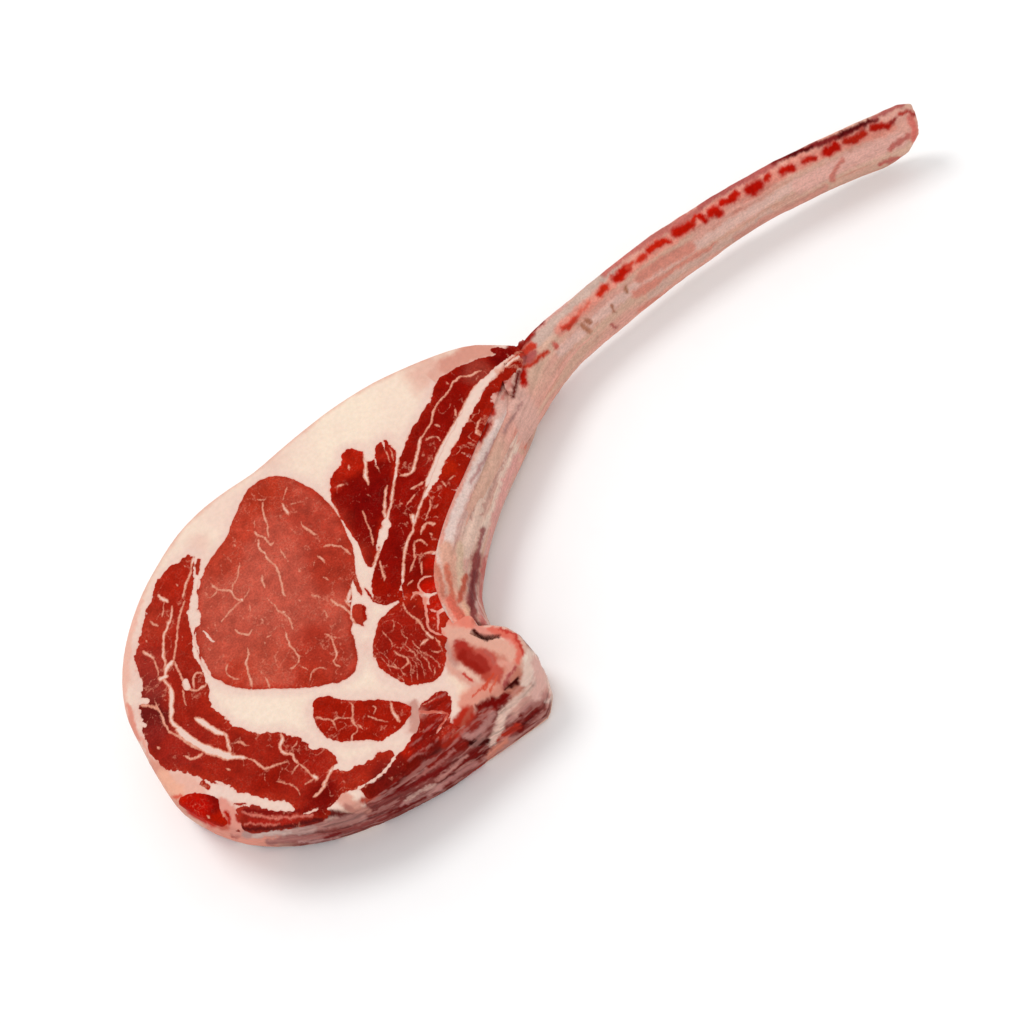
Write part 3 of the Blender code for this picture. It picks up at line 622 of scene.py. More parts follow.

# Strokes of colour on what the camera sees of the side, the vertebra and the fat near them, among them
# painted shade in the joint's slit and a painted highlight on the lower edge: colour, width in pixels, and
# the pixels that it runs through.
SIDE_STROKES = [
    ((238, 184, 166), 6, [(141, 600), (133, 624), (128, 648), (125, 672), (124, 696), (129, 718)]),
    ((226, 146, 128), 5, [(128, 706), (132, 722), (138, 738)]),
    ((232, 164, 146), 4, [(140, 736), (147, 752), (155, 768)]),
    (SALMON, 22, [(158, 770), (166, 790), (180, 806)]),
    ((232, 150, 130), 20, [(214, 832), (240, 836), (270, 838)]),
    (SPONGY_BONE, 26, [(484, 655), (506, 668), (512, 690)]),
    ((222, 160, 142), 18, [(446, 640), (452, 662), (468, 676), (490, 690)]),
    ((234, 186, 166), 8, [(456, 664), (472, 673), (486, 684), (491, 695)]),
    ((228, 168, 148), 16, [(440, 630), (460, 634), (482, 643), (502, 647), (514, 645), (514, 656)]),
    ((200, 146, 132), 6, [(446, 642), (450, 656), (456, 665)]),
    ((184, 72, 56), 22, [(463, 652), (474, 660), (486, 668), (494, 678)]),
    ((172, 48, 38), 13, [(460, 645), (465, 653)]),
    ((152, 32, 22), 12, [(463, 656), (472, 663), (481, 668)]),
    ((196, 84, 70), 14, [(480, 655), (490, 660), (497, 674)]),
    ((162, 44, 34), 8, [(470, 655), (480, 660), (487, 668)]),
    ((190, 92, 80), 3, [(484, 652), (490, 656), (494, 663)]),
    ((224, 152, 134), 7, [(500, 662), (511, 667), (504, 684)]),
    ((232, 132, 112), 14, [(448, 618), (462, 620), (476, 624)]),
    ((230, 150, 134), 6, [(476, 627), (484, 629), (492, 631), (503, 634), (512, 642)]),
    ((226, 146, 130), 7, [(478, 631), (488, 634), (498, 635)]),
    # painted shade: the joint's slit between vertebra and rib darkened to black-red
    (BLACK_RED, 3.6, [(473, 630.5), (479, 635.5), (487, 638.5), (497, 637)]),
    ((196, 54, 42), 2.2, [(463, 674), (468, 678), (472, 681)]),
    ((238, 208, 194), 22, [(535, 659), (541, 674), (546, 692)]),
    ((232, 186, 172), 8, [(534, 660), (540, 676), (546, 694)]),
    ((246, 222, 204), 6, [(526, 656), (529, 668), (527, 684)]),
    ((226, 112, 94), 7, [(491, 629), (502, 632.5), (512, 637), (518, 645), (520, 654), (517, 661)]),
    ((200, 62, 50), 3, [(500, 629), (512, 633.5), (520, 643), (522.5, 653)]),
    ((226, 150, 130), 16, [(466, 702), (480, 692), (494, 690)]),
    ((206, 72, 48), 2.6, [(484, 690), (488, 682), (493, 674)]),
    ((212, 92, 68), 2.2, [(490, 692), (494, 684), (498, 677)]),
    ((208, 84, 62), 2.0, [(472, 697), (480, 690), (487, 684)]),
    ((236, 196, 180), 9, [(492, 742), (500, 728), (503, 714), (516, 702), (530, 690)]),
    ((216, 160, 146), 10, [(516, 712), (530, 700), (543, 690)]),
    ((186, 128, 120), 8, [(524, 712), (536, 702), (546, 696)]),
    (PURPLE, 12, [(514, 730), (526, 720), (540, 706)]),
    (MAROON, 5, [(520, 730), (528, 719), (538, 710)]),
    (MAROON, 4, [(516, 724), (522, 716)]),
    (RED, 6, [(500, 740), (508, 732), (518, 726)]),
    ((224, 140, 118), 6, [(488, 757), (497, 748), (506, 740)]),
    ((178, 78, 76), 3, [(503, 688), (508, 678), (515, 668)]),
    ((110, 30, 26), 3, [(506, 688), (510, 685)]),
    ((122, 14, 10), 9, [(480, 708), (487, 704), (492, 700)]),
    ((126, 16, 12), 9, [(494, 706), (500, 702), (506, 697)]),
    ((154, 44, 34), 12, [(470, 730), (478, 718), (488, 712)]),
    ((190, 130, 122), 7, [(466, 736), (478, 733), (488, 722), (492, 714)]),
    ((186, 46, 30), 16, [(446, 741), (457, 728), (467, 714)]),
    ((190, 84, 66), 4, [(452, 736), (464, 722), (472, 708)]),
    (BLACK_RED, 6, [(466, 743), (476, 743), (487, 741)]),
    (MAROON, 13, [(448, 776), (462, 764), (480, 754)]),
    ((176, 110, 100), 2.5, [(456, 772), (468, 764), (478, 760)]),
    ((150, 74, 66), 3, [(468, 768), (478, 762), (484, 757)]),
    ((138, 28, 20), 10, [(430, 764), (446, 755), (464, 745)]),
    ((198, 132, 122), 4, [(430, 786), (441, 777), (454, 766), (466, 756)]),
    ((184, 108, 100), 3, [(412, 781), (426, 771), (442, 761), (454, 750)]),
    (PURPLE, 9, [(368, 803), (388, 797), (410, 790), (432, 781)]),
    ((120, 20, 18), 6, [(384, 796), (408, 786), (430, 776), (444, 768)]),
    ((92, 44, 38), 7, [(374, 787), (390, 777), (404, 768), (416, 757)]),
    ((128, 56, 52), 10, [(372, 812), (395, 803), (418, 792)]),
    ((196, 136, 130), 6, [(404, 806), (424, 797), (440, 787)]),
    ((186, 122, 116), 5, [(446, 782), (462, 772), (476, 763)]),
    ((200, 152, 148), 4, [(300, 841), (322, 840), (344, 836)]),
    ((206, 160, 148), 3, [(406, 800), (424, 790), (434, 786)]),
    ((110, 18, 16), 4, [(340, 838), (358, 830), (378, 820), (394, 811), (408, 806), (426, 797)]),
    ((184, 74, 58), 7, [(362, 801), (369, 799), (376, 794)]),
    ((224, 160, 142), 12, [(340, 796), (348, 802), (356, 808)]),
    ((194, 128, 114), 6, [(346, 807), (356, 811), (368, 811)]),
    ((104, 34, 30), 7, [(320, 817), (334, 814), (352, 817)]),
    ((176, 120, 112), 10, [(320, 826), (340, 822), (362, 818)]),
    ((140, 66, 62), 6, [(350, 832), (366, 824), (384, 816)]),
    ((188, 146, 138), 9, [(246, 834), (268, 832), (292, 831), (312, 829)]),
    ((210, 178, 168), 4, [(254, 836), (272, 833), (290, 832)]),
    ((80, 22, 22), 5, [(262, 829), (276, 826), (292, 825), (310, 820), (326, 814)]),
    ((168, 104, 98), 6, [(268, 842), (290, 839), (312, 838), (332, 836)]),
    ((120, 22, 20), 5, [(326, 838), (340, 833)]),
    ((206, 96, 78), 8, [(222, 826), (244, 824), (262, 822)]),
    ((190, 44, 30), 5, [(226, 818), (236, 819), (250, 822)]),
    ((226, 150, 126), 3, [(246, 818), (262, 823), (280, 824)]),
    ((150, 24, 20), 6, [(234, 835), (237, 835)]),
    (BRIGHT_RED, 12, [(192, 810), (204, 816), (213, 822)]),
    ((236, 150, 130), 4, [(216, 820), (222, 814), (226, 812)]),
    ((226, 150, 134), 13, [(222, 804), (232, 815), (237, 830)]),
    ((186, 44, 32), 4, [(225, 811), (229, 817), (229, 822)]),
    ((180, 34, 26), 3, [(236, 815), (239, 821)]),
    ((236, 180, 162), 18, [(180, 781), (190, 785), (197, 792)]),
    ((240, 176, 150), 16, [(164, 778), (170, 788), (178, 792)]),
    ((222, 96, 76), 4, [(174, 797), (182, 796)]),
    # painted highlight: a pale glint on the rounded lower edge
    ((244, 170, 150), 3, [(208, 815), (209, 817)]),
    ((206, 104, 86), 6, [(414, 713), (422, 711), (430, 712), (438, 711), (447, 712)]),
    ((204, 92, 74), 5, [(434, 733), (440, 726), (444, 720), (448, 713)]),
    ((206, 150, 136), 11, [(413, 705), (415, 716), (416, 729)]),
    ((228, 142, 122), 7, [(425, 599), (424, 610), (426, 622), (431, 632), (441, 634)]),
    ((226, 140, 120), 5, [(408, 601), (414, 594), (421, 593)]),
    ((232, 150, 134), 6, [(429, 609), (437, 611), (438, 620), (438, 630)]),
    ((228, 148, 128), 5, [(419, 588), (418, 582), (423, 576), (431, 575), (436, 579), (438, 588)]),
]

# Clots on the side and the vertebra's pale edges, over the strands.
CLOT_STROKES = [
    (BLACK_RED, 9, [(511, 685), (515, 681)]),
    (BLACK_RED, 3, [(506, 688), (511, 683)]),
    ((120, 14, 10), 6, [(481, 707), (487, 704), (492, 701)]),
    ((124, 14, 10), 6, [(495, 705), (500, 702), (505, 697)]),
    ((238, 204, 188), 9, [(525, 652), (529, 666), (525, 682)]),
    ((228, 178, 166), 11, [(537, 664), (541, 680), (536, 696)]),
]

# Strands over the upper face's lean at the steak's lower edge.
LEAN_STROKES = [
    ((128, 20, 16), 4, [(246, 809), (262, 812), (284, 813), (300, 810)]),
    ((214, 116, 100), 2.6, [(243, 812), (258, 816), (276, 818), (296, 817), (312, 816)]),
    ((168, 34, 24), 5, [(250, 821), (270, 823), (292, 821)]),
    ((206, 108, 92), 1.8, [(246, 824), (262, 825), (280, 824)]),
    ((98, 24, 22), 4, [(240, 829), (262, 829), (286, 827), (306, 823), (322, 820)]),
]

# What shows of the rib, with the blood spots along it.
BONE_STROKES = [
    ((208, 176, 162), 15, [(536, 340), (560, 318), (590, 292), (612, 270)]),
    ((216, 160, 148), 5, [(536, 330), (550, 316), (566, 304)]),
    ((196, 112, 102), 9, [(604, 272), (620, 258), (642, 244), (672, 226), (700, 210)]),
    ((160, 74, 70), 4, [(606, 266), (625, 252), (645, 238)]),
    ((186, 96, 90), 8, [(700, 206), (726, 190), (750, 177), (774, 164)]),
    ((130, 34, 34), 7, [(774, 161), (798, 151), (830, 140), (858, 127), (876, 119)]),
    ((84, 12, 14), 3.5, [(790, 156), (800, 152), (812, 147)]),
    ((84, 12, 14), 4, [(838, 135), (850, 130), (864, 124), (872, 121)]),
    ((182, 98, 92), 5, [(874, 117), (888, 111), (903, 105)]),
    ((232, 150, 132), 12, [(560, 330), (600, 294), (640, 260), (680, 234), (720, 206)]),
    ((232, 148, 130), 12, [(720, 206), (760, 184), (800, 163), (840, 146), (890, 126)]),
    ((234, 190, 176), 9, [(560, 352), (600, 316), (640, 284), (690, 250), (740, 218), (800, 182)]),
    ((224, 146, 128), 12, [(640, 278), (664, 262), (690, 248)]),
    ((222, 142, 124), 9, [(636, 294), (658, 282), (690, 262), (716, 246)]),
    ((226, 146, 128), 5, [(640, 310), (670, 292), (700, 270), (736, 246)]),
    ((216, 174, 158), 6, [(650, 296), (680, 272), (720, 246), (770, 212)]),
    ((216, 152, 136), 7, [(736, 238), (760, 224), (790, 208), (826, 188)]),
    ((238, 182, 168), 16, [(800, 185), (840, 165), (870, 152), (900, 140)]),
    ((214, 130, 116), 5, [(832, 180), (836, 168), (842, 160)]),
    ((200, 108, 98), 4, [(880, 164), (892, 160), (903, 158)]),
    ((198, 110, 100), 6, [(890, 150), (897, 143), (908, 136)]),
    ((226, 120, 108), 7, [(910, 118), (914, 128), (914, 140)]),
    ((176, 64, 58), 4, [(908, 111), (913, 114)]),
    ((150, 40, 36), 4, [(890, 124), (895, 119)]),
    ((180, 60, 50), 3.5, [(899, 115), (906, 112)]),
    ((178, 116, 92), 5, [(586, 320), (591, 323)]),
    ((186, 124, 98), 6, [(583, 326), (590, 331)]),
    ((182, 122, 98), 3.5, [(614, 312), (612, 306)]),
    ((176, 118, 90), 4, [(626, 288), (627, 292)]),
    ((180, 92, 84), 4, [(613, 325), (616, 327)]),
    ((204, 96, 84), 5, [(554, 343), (556, 347)]),
    ((130, 28, 26), 3, [(518, 344), (530, 333), (543, 322)]),
    ((176, 112, 100), 5, [(528, 362), (534, 354)]),
    ((222, 110, 90), 4, [(574, 322), (580, 312), (589, 303)]),
    ((206, 66, 48), 6.5, [(564, 328), (571, 325), (575, 319)]),
    ((202, 44, 24), 8, [(600, 294), (605, 287)]),
    ((186, 24, 10), 10.5, [(617, 278), (622, 274), (626, 269)]),
    ((206, 66, 48), 4.5, [(628, 267), (632, 262)]),
    ((206, 50, 32), 6.5, [(638, 260), (645, 256)]),
    ((198, 32, 14), 7.5, [(649, 250), (656, 246), (662, 242), (668, 241)]),
    ((184, 22, 8), 11, [(677, 232), (684, 229), (690, 226)]),
    ((200, 36, 18), 5, [(693, 222), (695, 217), (701, 216)]),
    ((188, 20, 8), 7, [(702, 217), (706, 220)]),
    ((194, 24, 10), 9.5, [(711, 213), (715, 210), (719, 213)]),
    ((190, 24, 10), 7.5, [(722, 203), (728, 201), (733, 198), (737, 194)]),
    ((184, 18, 8), 13, [(750, 190), (754, 188), (758, 185)]),
    ((196, 34, 18), 7, [(767, 179), (769, 176)]),
    ((190, 22, 10), 9, [(783, 171), (788, 169), (792, 168)]),
    ((186, 30, 16), 5.5, [(803, 161), (809, 159), (815, 157)]),
    ((188, 20, 8), 11, [(827, 152), (831, 149), (835, 147)]),
    ((184, 36, 20), 9, [(846, 141), (852, 140), (859, 137), (863, 133)]),
    ((178, 24, 12), 7, [(873, 128), (880, 126), (887, 126)]),
]

# Lean and blood where the rib leaves the meat, over the fat, the rib and its membrane.
NECK_STROKES = [
    ((226, 170, 152), 12, [(424, 386), (436, 374), (448, 366)]),
    ((218, 152, 134), 15, [(446, 366), (458, 360), (474, 353), (488, 350)]),
    ((226, 176, 162), 26, [(508, 392), (522, 408), (530, 430)]),
    ((228, 180, 166), 12, [(504, 392), (500, 404), (496, 414)]),
    ((226, 174, 158), 14, [(517, 364), (512, 380), (509, 394)]),
    ((150, 26, 18), 8, [(508, 350), (519, 346), (531, 335)]),
    ((226, 168, 148), 5, [(525, 351), (514, 358), (505, 365), (497, 372)]),
    ((156, 22, 10), 8.5, [(525, 356), (514, 363), (505, 373), (497, 382), (488, 392)]),
    ((144, 18, 8), 4.5, [(506, 373), (502, 383), (498, 394)]),
    ((200, 60, 42), 8, [(518, 354), (525, 351), (532, 346)]),
    ((176, 88, 84), 8, [(523, 361), (528, 359), (533, 354)]),
    ((196, 56, 38), 5, [(524, 368), (530, 365), (538, 359), (547, 351)]),
    ((180, 22, 10), 7.5, [(523, 374), (523, 379), (524, 383)]),
    ((112, 16, 12), 3.5, [(518, 372), (516, 385), (513, 397)]),
    ((206, 130, 118), 3, [(512, 376), (508, 388), (503, 398)]),
    ((190, 140, 132), 3, [(523, 402), (512, 418), (504, 432)]),
    ((222, 166, 152), 10, [(493, 393), (493, 403)]),
    ((190, 46, 32), 8, [(490.5, 409), (492.5, 412)]),
    ((230, 168, 156), 4, [(486, 404), (486, 416), (489, 420)]),
]

# The bands of the membrane, and painted shade along its lower edge.
MEMBRANE_STROKES = [
    ((230, 202, 192), 11, [(507, 410), (491, 440), (476, 470), (461, 500), (451, 525), (447, 548)]),
    ((224, 154, 138), 4.5, [(498, 412), (487, 432), (473, 455), (459, 488), (447, 518), (440, 545)]),
    ((234, 198, 180), 14, [(528, 406), (511, 440), (496, 465), (485, 492), (475, 522), (464, 552)]),
    ((196, 146, 140), 3, [(520, 405), (506, 424), (491, 447), (480, 466), (470, 484)]),
    ((204, 156, 142), 2, [(501, 452), (490, 475), (480, 498), (472, 520)]),
    ((206, 158, 144), 2, [(513, 448), (501, 474), (489, 500), (482, 516)]),
    ((238, 208, 190), 6, [(531, 424), (518, 450), (508, 470), (500, 490), (492, 510), (483, 526)]),
    ((214, 128, 108), 7, [(531, 438), (527, 447)]),
    ((232, 188, 172), 5, [(540, 404), (530, 424), (521, 446)]),
    ((212, 150, 130), 4, [(548, 396), (536, 414), (528, 430)]),
    ((228, 166, 156), 8, [(520, 457), (508, 480), (500, 500), (494, 521), (489, 546), (485, 572)]),
    ((204, 116, 108), 8, [(485, 560), (483, 580), (482, 602), (483, 622)]),
    ((232, 170, 160), 3, [(488, 548), (486, 575), (485, 600)]),
    # painted shade: these three strokes darken the membrane's lower edge, which turns down away from the lamp
    ((160, 96, 92), 4, [(483, 528), (478, 546), (475, 562)]),
    ((146, 72, 68), 9, [(476, 556), (473, 580), (471, 604), (474, 628)]),
    ((122, 50, 50), 3, [(474, 570), (471, 592), (470, 612)]),
    ((222, 166, 144), 14, [(446, 548), (449, 570), (454, 596)]),
    ((222, 186, 160), 7, [(460, 545), (459, 568), (462, 590)]),
    ((214, 118, 94), 5, [(446, 566), (449, 580), (454, 602)]),
    ((190, 92, 72), 6, [(465, 578), (462, 590), (460, 600)]),
    ((222, 128, 108), 4, [(434, 548), (434, 566), (436, 584), (441, 602)]),
    ((224, 112, 92), 12, [(450, 602), (458, 614), (468, 624)]),
    ((240, 158, 138), 4, [(440, 588), (446, 606), (455, 622)]),
    ((226, 170, 144), 5, [(464, 602), (468, 618)]),
    ((150, 22, 8), 6, [(494, 408), (489, 420), (485, 430), (480, 440)]),
    ((208, 126, 104), 6, [(437, 566), (440, 580), (444, 596)]),
]

MUSCLES = list(LEANS)
SOLIDS = [*MUSCLES, "vertebra", "fat"]
PIECES = {**{name: name for name in SOLIDS}, "fat_left": "fat"}  # each piece, and the solid it stands for
SLOTS = {
    "eye_muscle": "eye_lean",
    "edge_muscle": "bright_lean",
    "fat": "fat",
    "vertebra": "cut_bone",
    "rib_membrane": "membrane",
    "rib_bone": "bone",
}


# ------------------------------------------------------------------------------------- numbers and noise


def smooth(low, high, values):
    """0 up to low and 1 from high on, with a soft step between."""
    share = np.clip((values - low) / (high - low), 0, 1)
    return share * share * (3 - 2 * share)


def noise(x, y, size, seed):
    """Smooth noise from 0 to 1, with features of this many mm."""
    table = np.random.default_rng(seed).random((256, 256))
    u, v = np.asarray(x) / size, np.asarray(y) / size
    i, j = np.floor(u).astype(int), np.floor(v).astype(int)
    u, v = u - i, v - j
    u, v = u * u * (3 - 2 * u), v * v * (3 - 2 * v)
    i, j, right, up = i % 256, j % 256, (i + 1) % 256, (j + 1) % 256
    lower = table[i, j] * (1 - u) + table[right, j] * u
    upper = table[i, up] * (1 - u) + table[right, up] * u
    return lower * (1 - v) + upper * v


def rough(x, y, size, seed, octaves=3):
    """Noise of several sizes, from about -1 to 1."""
    total, weight = 0.0, 0.0
    for octave in range(octaves):
        share = 0.55**octave
        total = total + share * (noise(x, y, size / 2**octave, seed + octave) * 2 - 1)
        weight += share
    return total / weight * 1.5


def through(points, steps=4):
    """Points on the smooth curve through these."""
    points = np.array(points, float)
    if len(points) < 3:
        return np.linspace(points[0], points[1], 5)
    ends = np.vstack([2 * points[0] - points[1], points, 2 * points[-1] - points[-2]])
    found = []
    for a, b, c, d in zip(ends, ends[1:], ends[2:], ends[3:]):
        bend, twist = 2 * a - 5 * b + 4 * c - d, 3 * b - a - 3 * c + d
        for t in np.arange(steps) / steps:
            found.append(0.5 * (2 * b + (c - a) * t + bend * t**2 + twist * t**3))
    return np.array([*found, points[-1]])


def linear(colour):
    """What returns this colour under the studio's light, as linear values. An array is that already."""
    if not isinstance(colour, tuple):
        return colour
    values = np.array(colour) / 255
    light = np.where(values <= 0.04045, values / 12.92, ((values + 0.055) / 1.055) ** 2.4)
    return np.maximum(light * LIGHT_SHARE - SHEEN, DARKEST)


def mixed(first, second, share):
    """Two colours, or arrays of them, mixed by a share of the second."""
    share = np.asarray(share)[..., None]
    return linear(first) * (1 - share) + linear(second) * share


def evened(values, rounds):
    """Values along a closed line, each drawn towards its neighbours."""
    for _ in range(rounds):
        values = values / 2 + (np.roll(values, 1, 0) + np.roll(values, -1, 0)) / 4
    return values


# ----------------------------------------------------------------------------------- the plan of the meat


def askew_shift(x, y, z):
    """How far the askew cuts move these points in Y."""
    stations, shifts = zip(*ASKEW)
    shift = np.interp(x, stations, shifts)
    fade = np.where(shift > 0, *ASKEW_FADE)
    return shift * np.clip(1 - (y - ASKEW_FRONT_Y) / fade, 0, 1) * (1 - z / THICKNESS)


def placed(x, y, z):
    """Points of the plan at these heights, in metres in the frame."""
    return np.stack([x - PLAN_ORIGIN[0], y - PLAN_ORIGIN[1] + askew_shift(x, y, z), z], -1) * MM


def plan_of(points):
    """Plan and height, in mm, of points in metres in the frame."""
    x, y, z = (np.asarray(points, float) / MM).T
    x, y = x + PLAN_ORIGIN[0], y + PLAN_ORIGIN[1]
    found = y
    for _ in range(6):
        found = y - askew_shift(x, found, z)
    return np.stack([x, found, z], -1)


def triples(items, key, kind=np.float32):
    """Three numbers for each of a mesh's vertices or triangles."""
    values = np.empty(len(items) * 3, kind)
    items.foreach_get(key, values)
    return values.reshape(-1, 3)


def outline_at(name, height):
    """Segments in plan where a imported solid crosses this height."""
    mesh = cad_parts[name].data
    mesh.calc_loop_triangles()
    triangles = triples(mesh.loop_triangles, "vertices", np.int32)
    points = plan_of(triples(mesh.vertices, "co"))
    above = points[:, 2] > height
    segments = []
    for triangle in triangles[above[triangles].any(1) & ~above[triangles].all(1)]:
        ends = []
        for a, b in ((0, 1), (1, 2), (2, 0)):
            first, second = points[triangle[a]], points[triangle[b]]
            if (first[2] > height) != (second[2] > height):
                share = (height - first[2]) / (second[2] - first[2])
                ends.append(first[:2] + (second[:2] - first[:2]) * share)
        segments.append(ends)
    return np.array(segments)


class Plan:
    """A grid over the steak's plan, and distances on it."""

    def __init__(self):
        self.xs, self.ys = np.arange(*GRID_X, GRID), np.arange(*GRID_Y, GRID)
        self.x, self.y = np.meshgrid(self.xs, self.ys, indexing="ij")
        self.wavy_x, self.wavy_y = (
            place + WAVE * rough(self.x, self.y, 2.6, seed) for place, seed in ((self.x, 11), (self.y, 21))
        )

    def rough(self, size, seed, octaves=3):
        return rough(self.x, self.y, size, seed, octaves)

    def window(self, first, second, reach):
        low, high = np.minimum(first, second) - reach, np.maximum(first, second) + reach
        i0, i1 = np.searchsorted(self.xs, [low[0], high[0]])
        j0, j1 = np.searchsorted(self.ys, [low[1], high[1]])
        return slice(i0, i1), slice(j0, j1)

    def signed_distance(self, segments, reach=8.0):
        """Distance to these closed outlines, negative inside, and never over reach."""
        distance = np.full(self.x.shape, reach)
        inside = np.zeros(self.x.shape, bool)
        for first, second in segments:
            part = self.window(first, second, reach)
            gap, _ = to_segment(self.x[part], self.y[part], first, second)
            np.minimum(distance[part], gap, out=distance[part])
            low, high = sorted((first[1], second[1]))
            for j in range(*np.searchsorted(self.ys - NUDGE, [low, high])):
                share = (self.ys[j] - NUDGE - first[1]) / (second[1] - first[1])
                crossing = first[0] + (second[0] - first[0]) * share
                inside[np.searchsorted(self.xs, crossing):, j] ^= True
        return np.where(inside, -distance, distance)

    def draw(self, field, lines, x=None, y=None):
        """Raises field to half a line's width less the distance from it, in mm, near each line."""
        x = self.wavy_x if x is None else x
        y = self.wavy_y if y is None else y
        for width, pixels in lines:
            points = through(on_upper_face(pixels))
            halves = np.full(len(points), width * MM_PER_PIXEL * LINE_HALF)
            if len(points) > 5 or width < BLUNT_WIDTH:
                halves[[0, -1]] *= LINE_TIP
                halves[[1, -2]] *= LINE_NECK
            for k in range(len(points) - 1):
                part = self.window(points[k], points[k + 1], DRAW_REACH)
                gap, share = to_segment(x[part], y[part], points[k], points[k + 1])
                value = halves[k] + (halves[k + 1] - halves[k]) * share - gap
                np.maximum(field[part], value, out=field[part])


def to_segment(x, y, first, second):
    """Distances from points to a segment, and where along it the nearest points lie."""
    across, up = second - first
    length = max(across * across + up * up, 1e-12)
    share = np.clip(((x - first[0]) * across + (y - first[1]) * up) / length, 0, 1)
    return np.hypot(x - first[0] - across * share, y - first[1] - up * share), share


# ------------------------------------------------------------------------------- the photograph's camera


def camera_axes():
    """The picture's right, its up and the way back to the camera, in the frame."""
    a, e, r = (math.radians(angle) for angle in (AZIMUTH, ELEVATION, ROLL))
    back = np.array([math.sin(a) * math.cos(e), -math.cos(a) * math.cos(e), math.sin(e)])
    level = np.array([math.cos(a), math.sin(a), 0.0])
    upright = np.cross(back, level)
    return level * math.cos(r) - upright * math.sin(r), level * math.sin(r) + upright * math.cos(r), back


RIGHT, UP, BACK = camera_axes()
FOCAL_PIXELS = LENS / SENSOR * PHOTO_SIDE
EYE_POINT = np.array(AIM) + BACK * FOCAL_PIXELS * MM_PER_PIXEL  # in plan and height


def sight_lines(pixels):
    """Directions from the camera through these pixels."""
    pixels = np.atleast_2d(np.array(pixels, float)) - PHOTO_SIDE / 2
    return (pixels[:, :1] * RIGHT - pixels[:, 1:] * UP) / FOCAL_PIXELS - BACK


def on_upper_face(pixels):
    """Points in plan that these pixels show on the upper cut face."""
    ways = sight_lines(pixels)
    steps = (THICKNESS + FACE_RISE - EYE_POINT[2]) / ways[:, 2:]
    return (EYE_POINT + ways * steps)[:, :2]


def make_camera():
    data = bpy.data.cameras.new("camera")
    data.lens, data.sensor_width = LENS, SENSOR
    data.clip_start, data.clip_end = CLIPPING
    camera = bpy.data.objects.new("camera", data)
    bpy.context.scene.collection.objects.link(camera)
    place = (EYE_POINT - [*PLAN_ORIGIN, 0]) * MM
    camera.matrix_world = Matrix.Translation(place) @ Matrix(np.array([RIGHT, UP, BACK]).T.tolist()).to_4x4()
    bpy.context.scene.camera = camera


# ------------------------------------------------------------------------------------ the meat's surface


def connected(mask, seed):
    """The cells of mask that can be reached from seed."""
    found = seed & mask
    while True:
        grown = found.copy()
        grown[1:] |= found[:-1]
        grown[:-1] |= found[1:]
        grown[:, 1:] |= found[:, :-1]
        grown[:, :-1] |= found[:, 1:]
        grown &= mask
        if (grown == found).all():
            return found
        found = grown


def cells_inside(outside_distance):
    """Grid cells of the meat: one region with no hole, and no two cells that meet at a corner alone."""
    middle = at_cells(outside_distance)
    kept = middle < 0
    seed = np.zeros_like(kept)
    seed[np.unravel_index(middle.argmin(), middle.shape)] = True
    kept = connected(kept, seed)
    edge = np.zeros_like(kept)
    edge[0, :] = True
    kept = ~connected(~kept, edge)
    for _ in range(4):
        low, high = kept[:-1, :-1] & kept[1:, 1:], kept[1:, :-1] & kept[:-1, 1:]
        kept[1:, :-1] |= low & ~(kept[1:, :-1] | kept[:-1, 1:])
        kept[:-1, :-1] |= high & ~(kept[:-1, :-1] | kept[1:, 1:])
    return kept


def at_cells(values):
    """Means of the grid's values at its cells."""
    return (values[:-1, :-1] + values[1:, :-1] + values[:-1, 1:] + values[1:, 1:]) / 4


def rim_of(kept):
    """Grid points round the cells, in order with the cells on the left, and the cell beside each step."""
    padded = np.pad(kept, 1)
    following = {}
    sides = [
        ((0, -1), (0, 0), (1, 0)),
        ((1, 0), (1, 0), (1, 1)),
        ((0, 1), (1, 1), (0, 1)),
        ((-1, 0), (0, 1), (0, 0)),
    ]
    for (di, dj), start, end in sides:
        beyond = padded[1 + di:padded.shape[0] - 1 + di, 1 + dj:padded.shape[1] - 1 + dj]
        for i, j in np.argwhere(kept & ~beyond):
            following[i + start[0], j + start[1]] = ((i + end[0], j + end[1]), (i, j))
    start = min(following)
    rim, cells, here = [], [], start
    while True:
        ahead, cell = following[here]
        rim.append(here)
        cells.append(cell)
        here = ahead
        if here == start:
            return np.array(rim), np.array(cells)


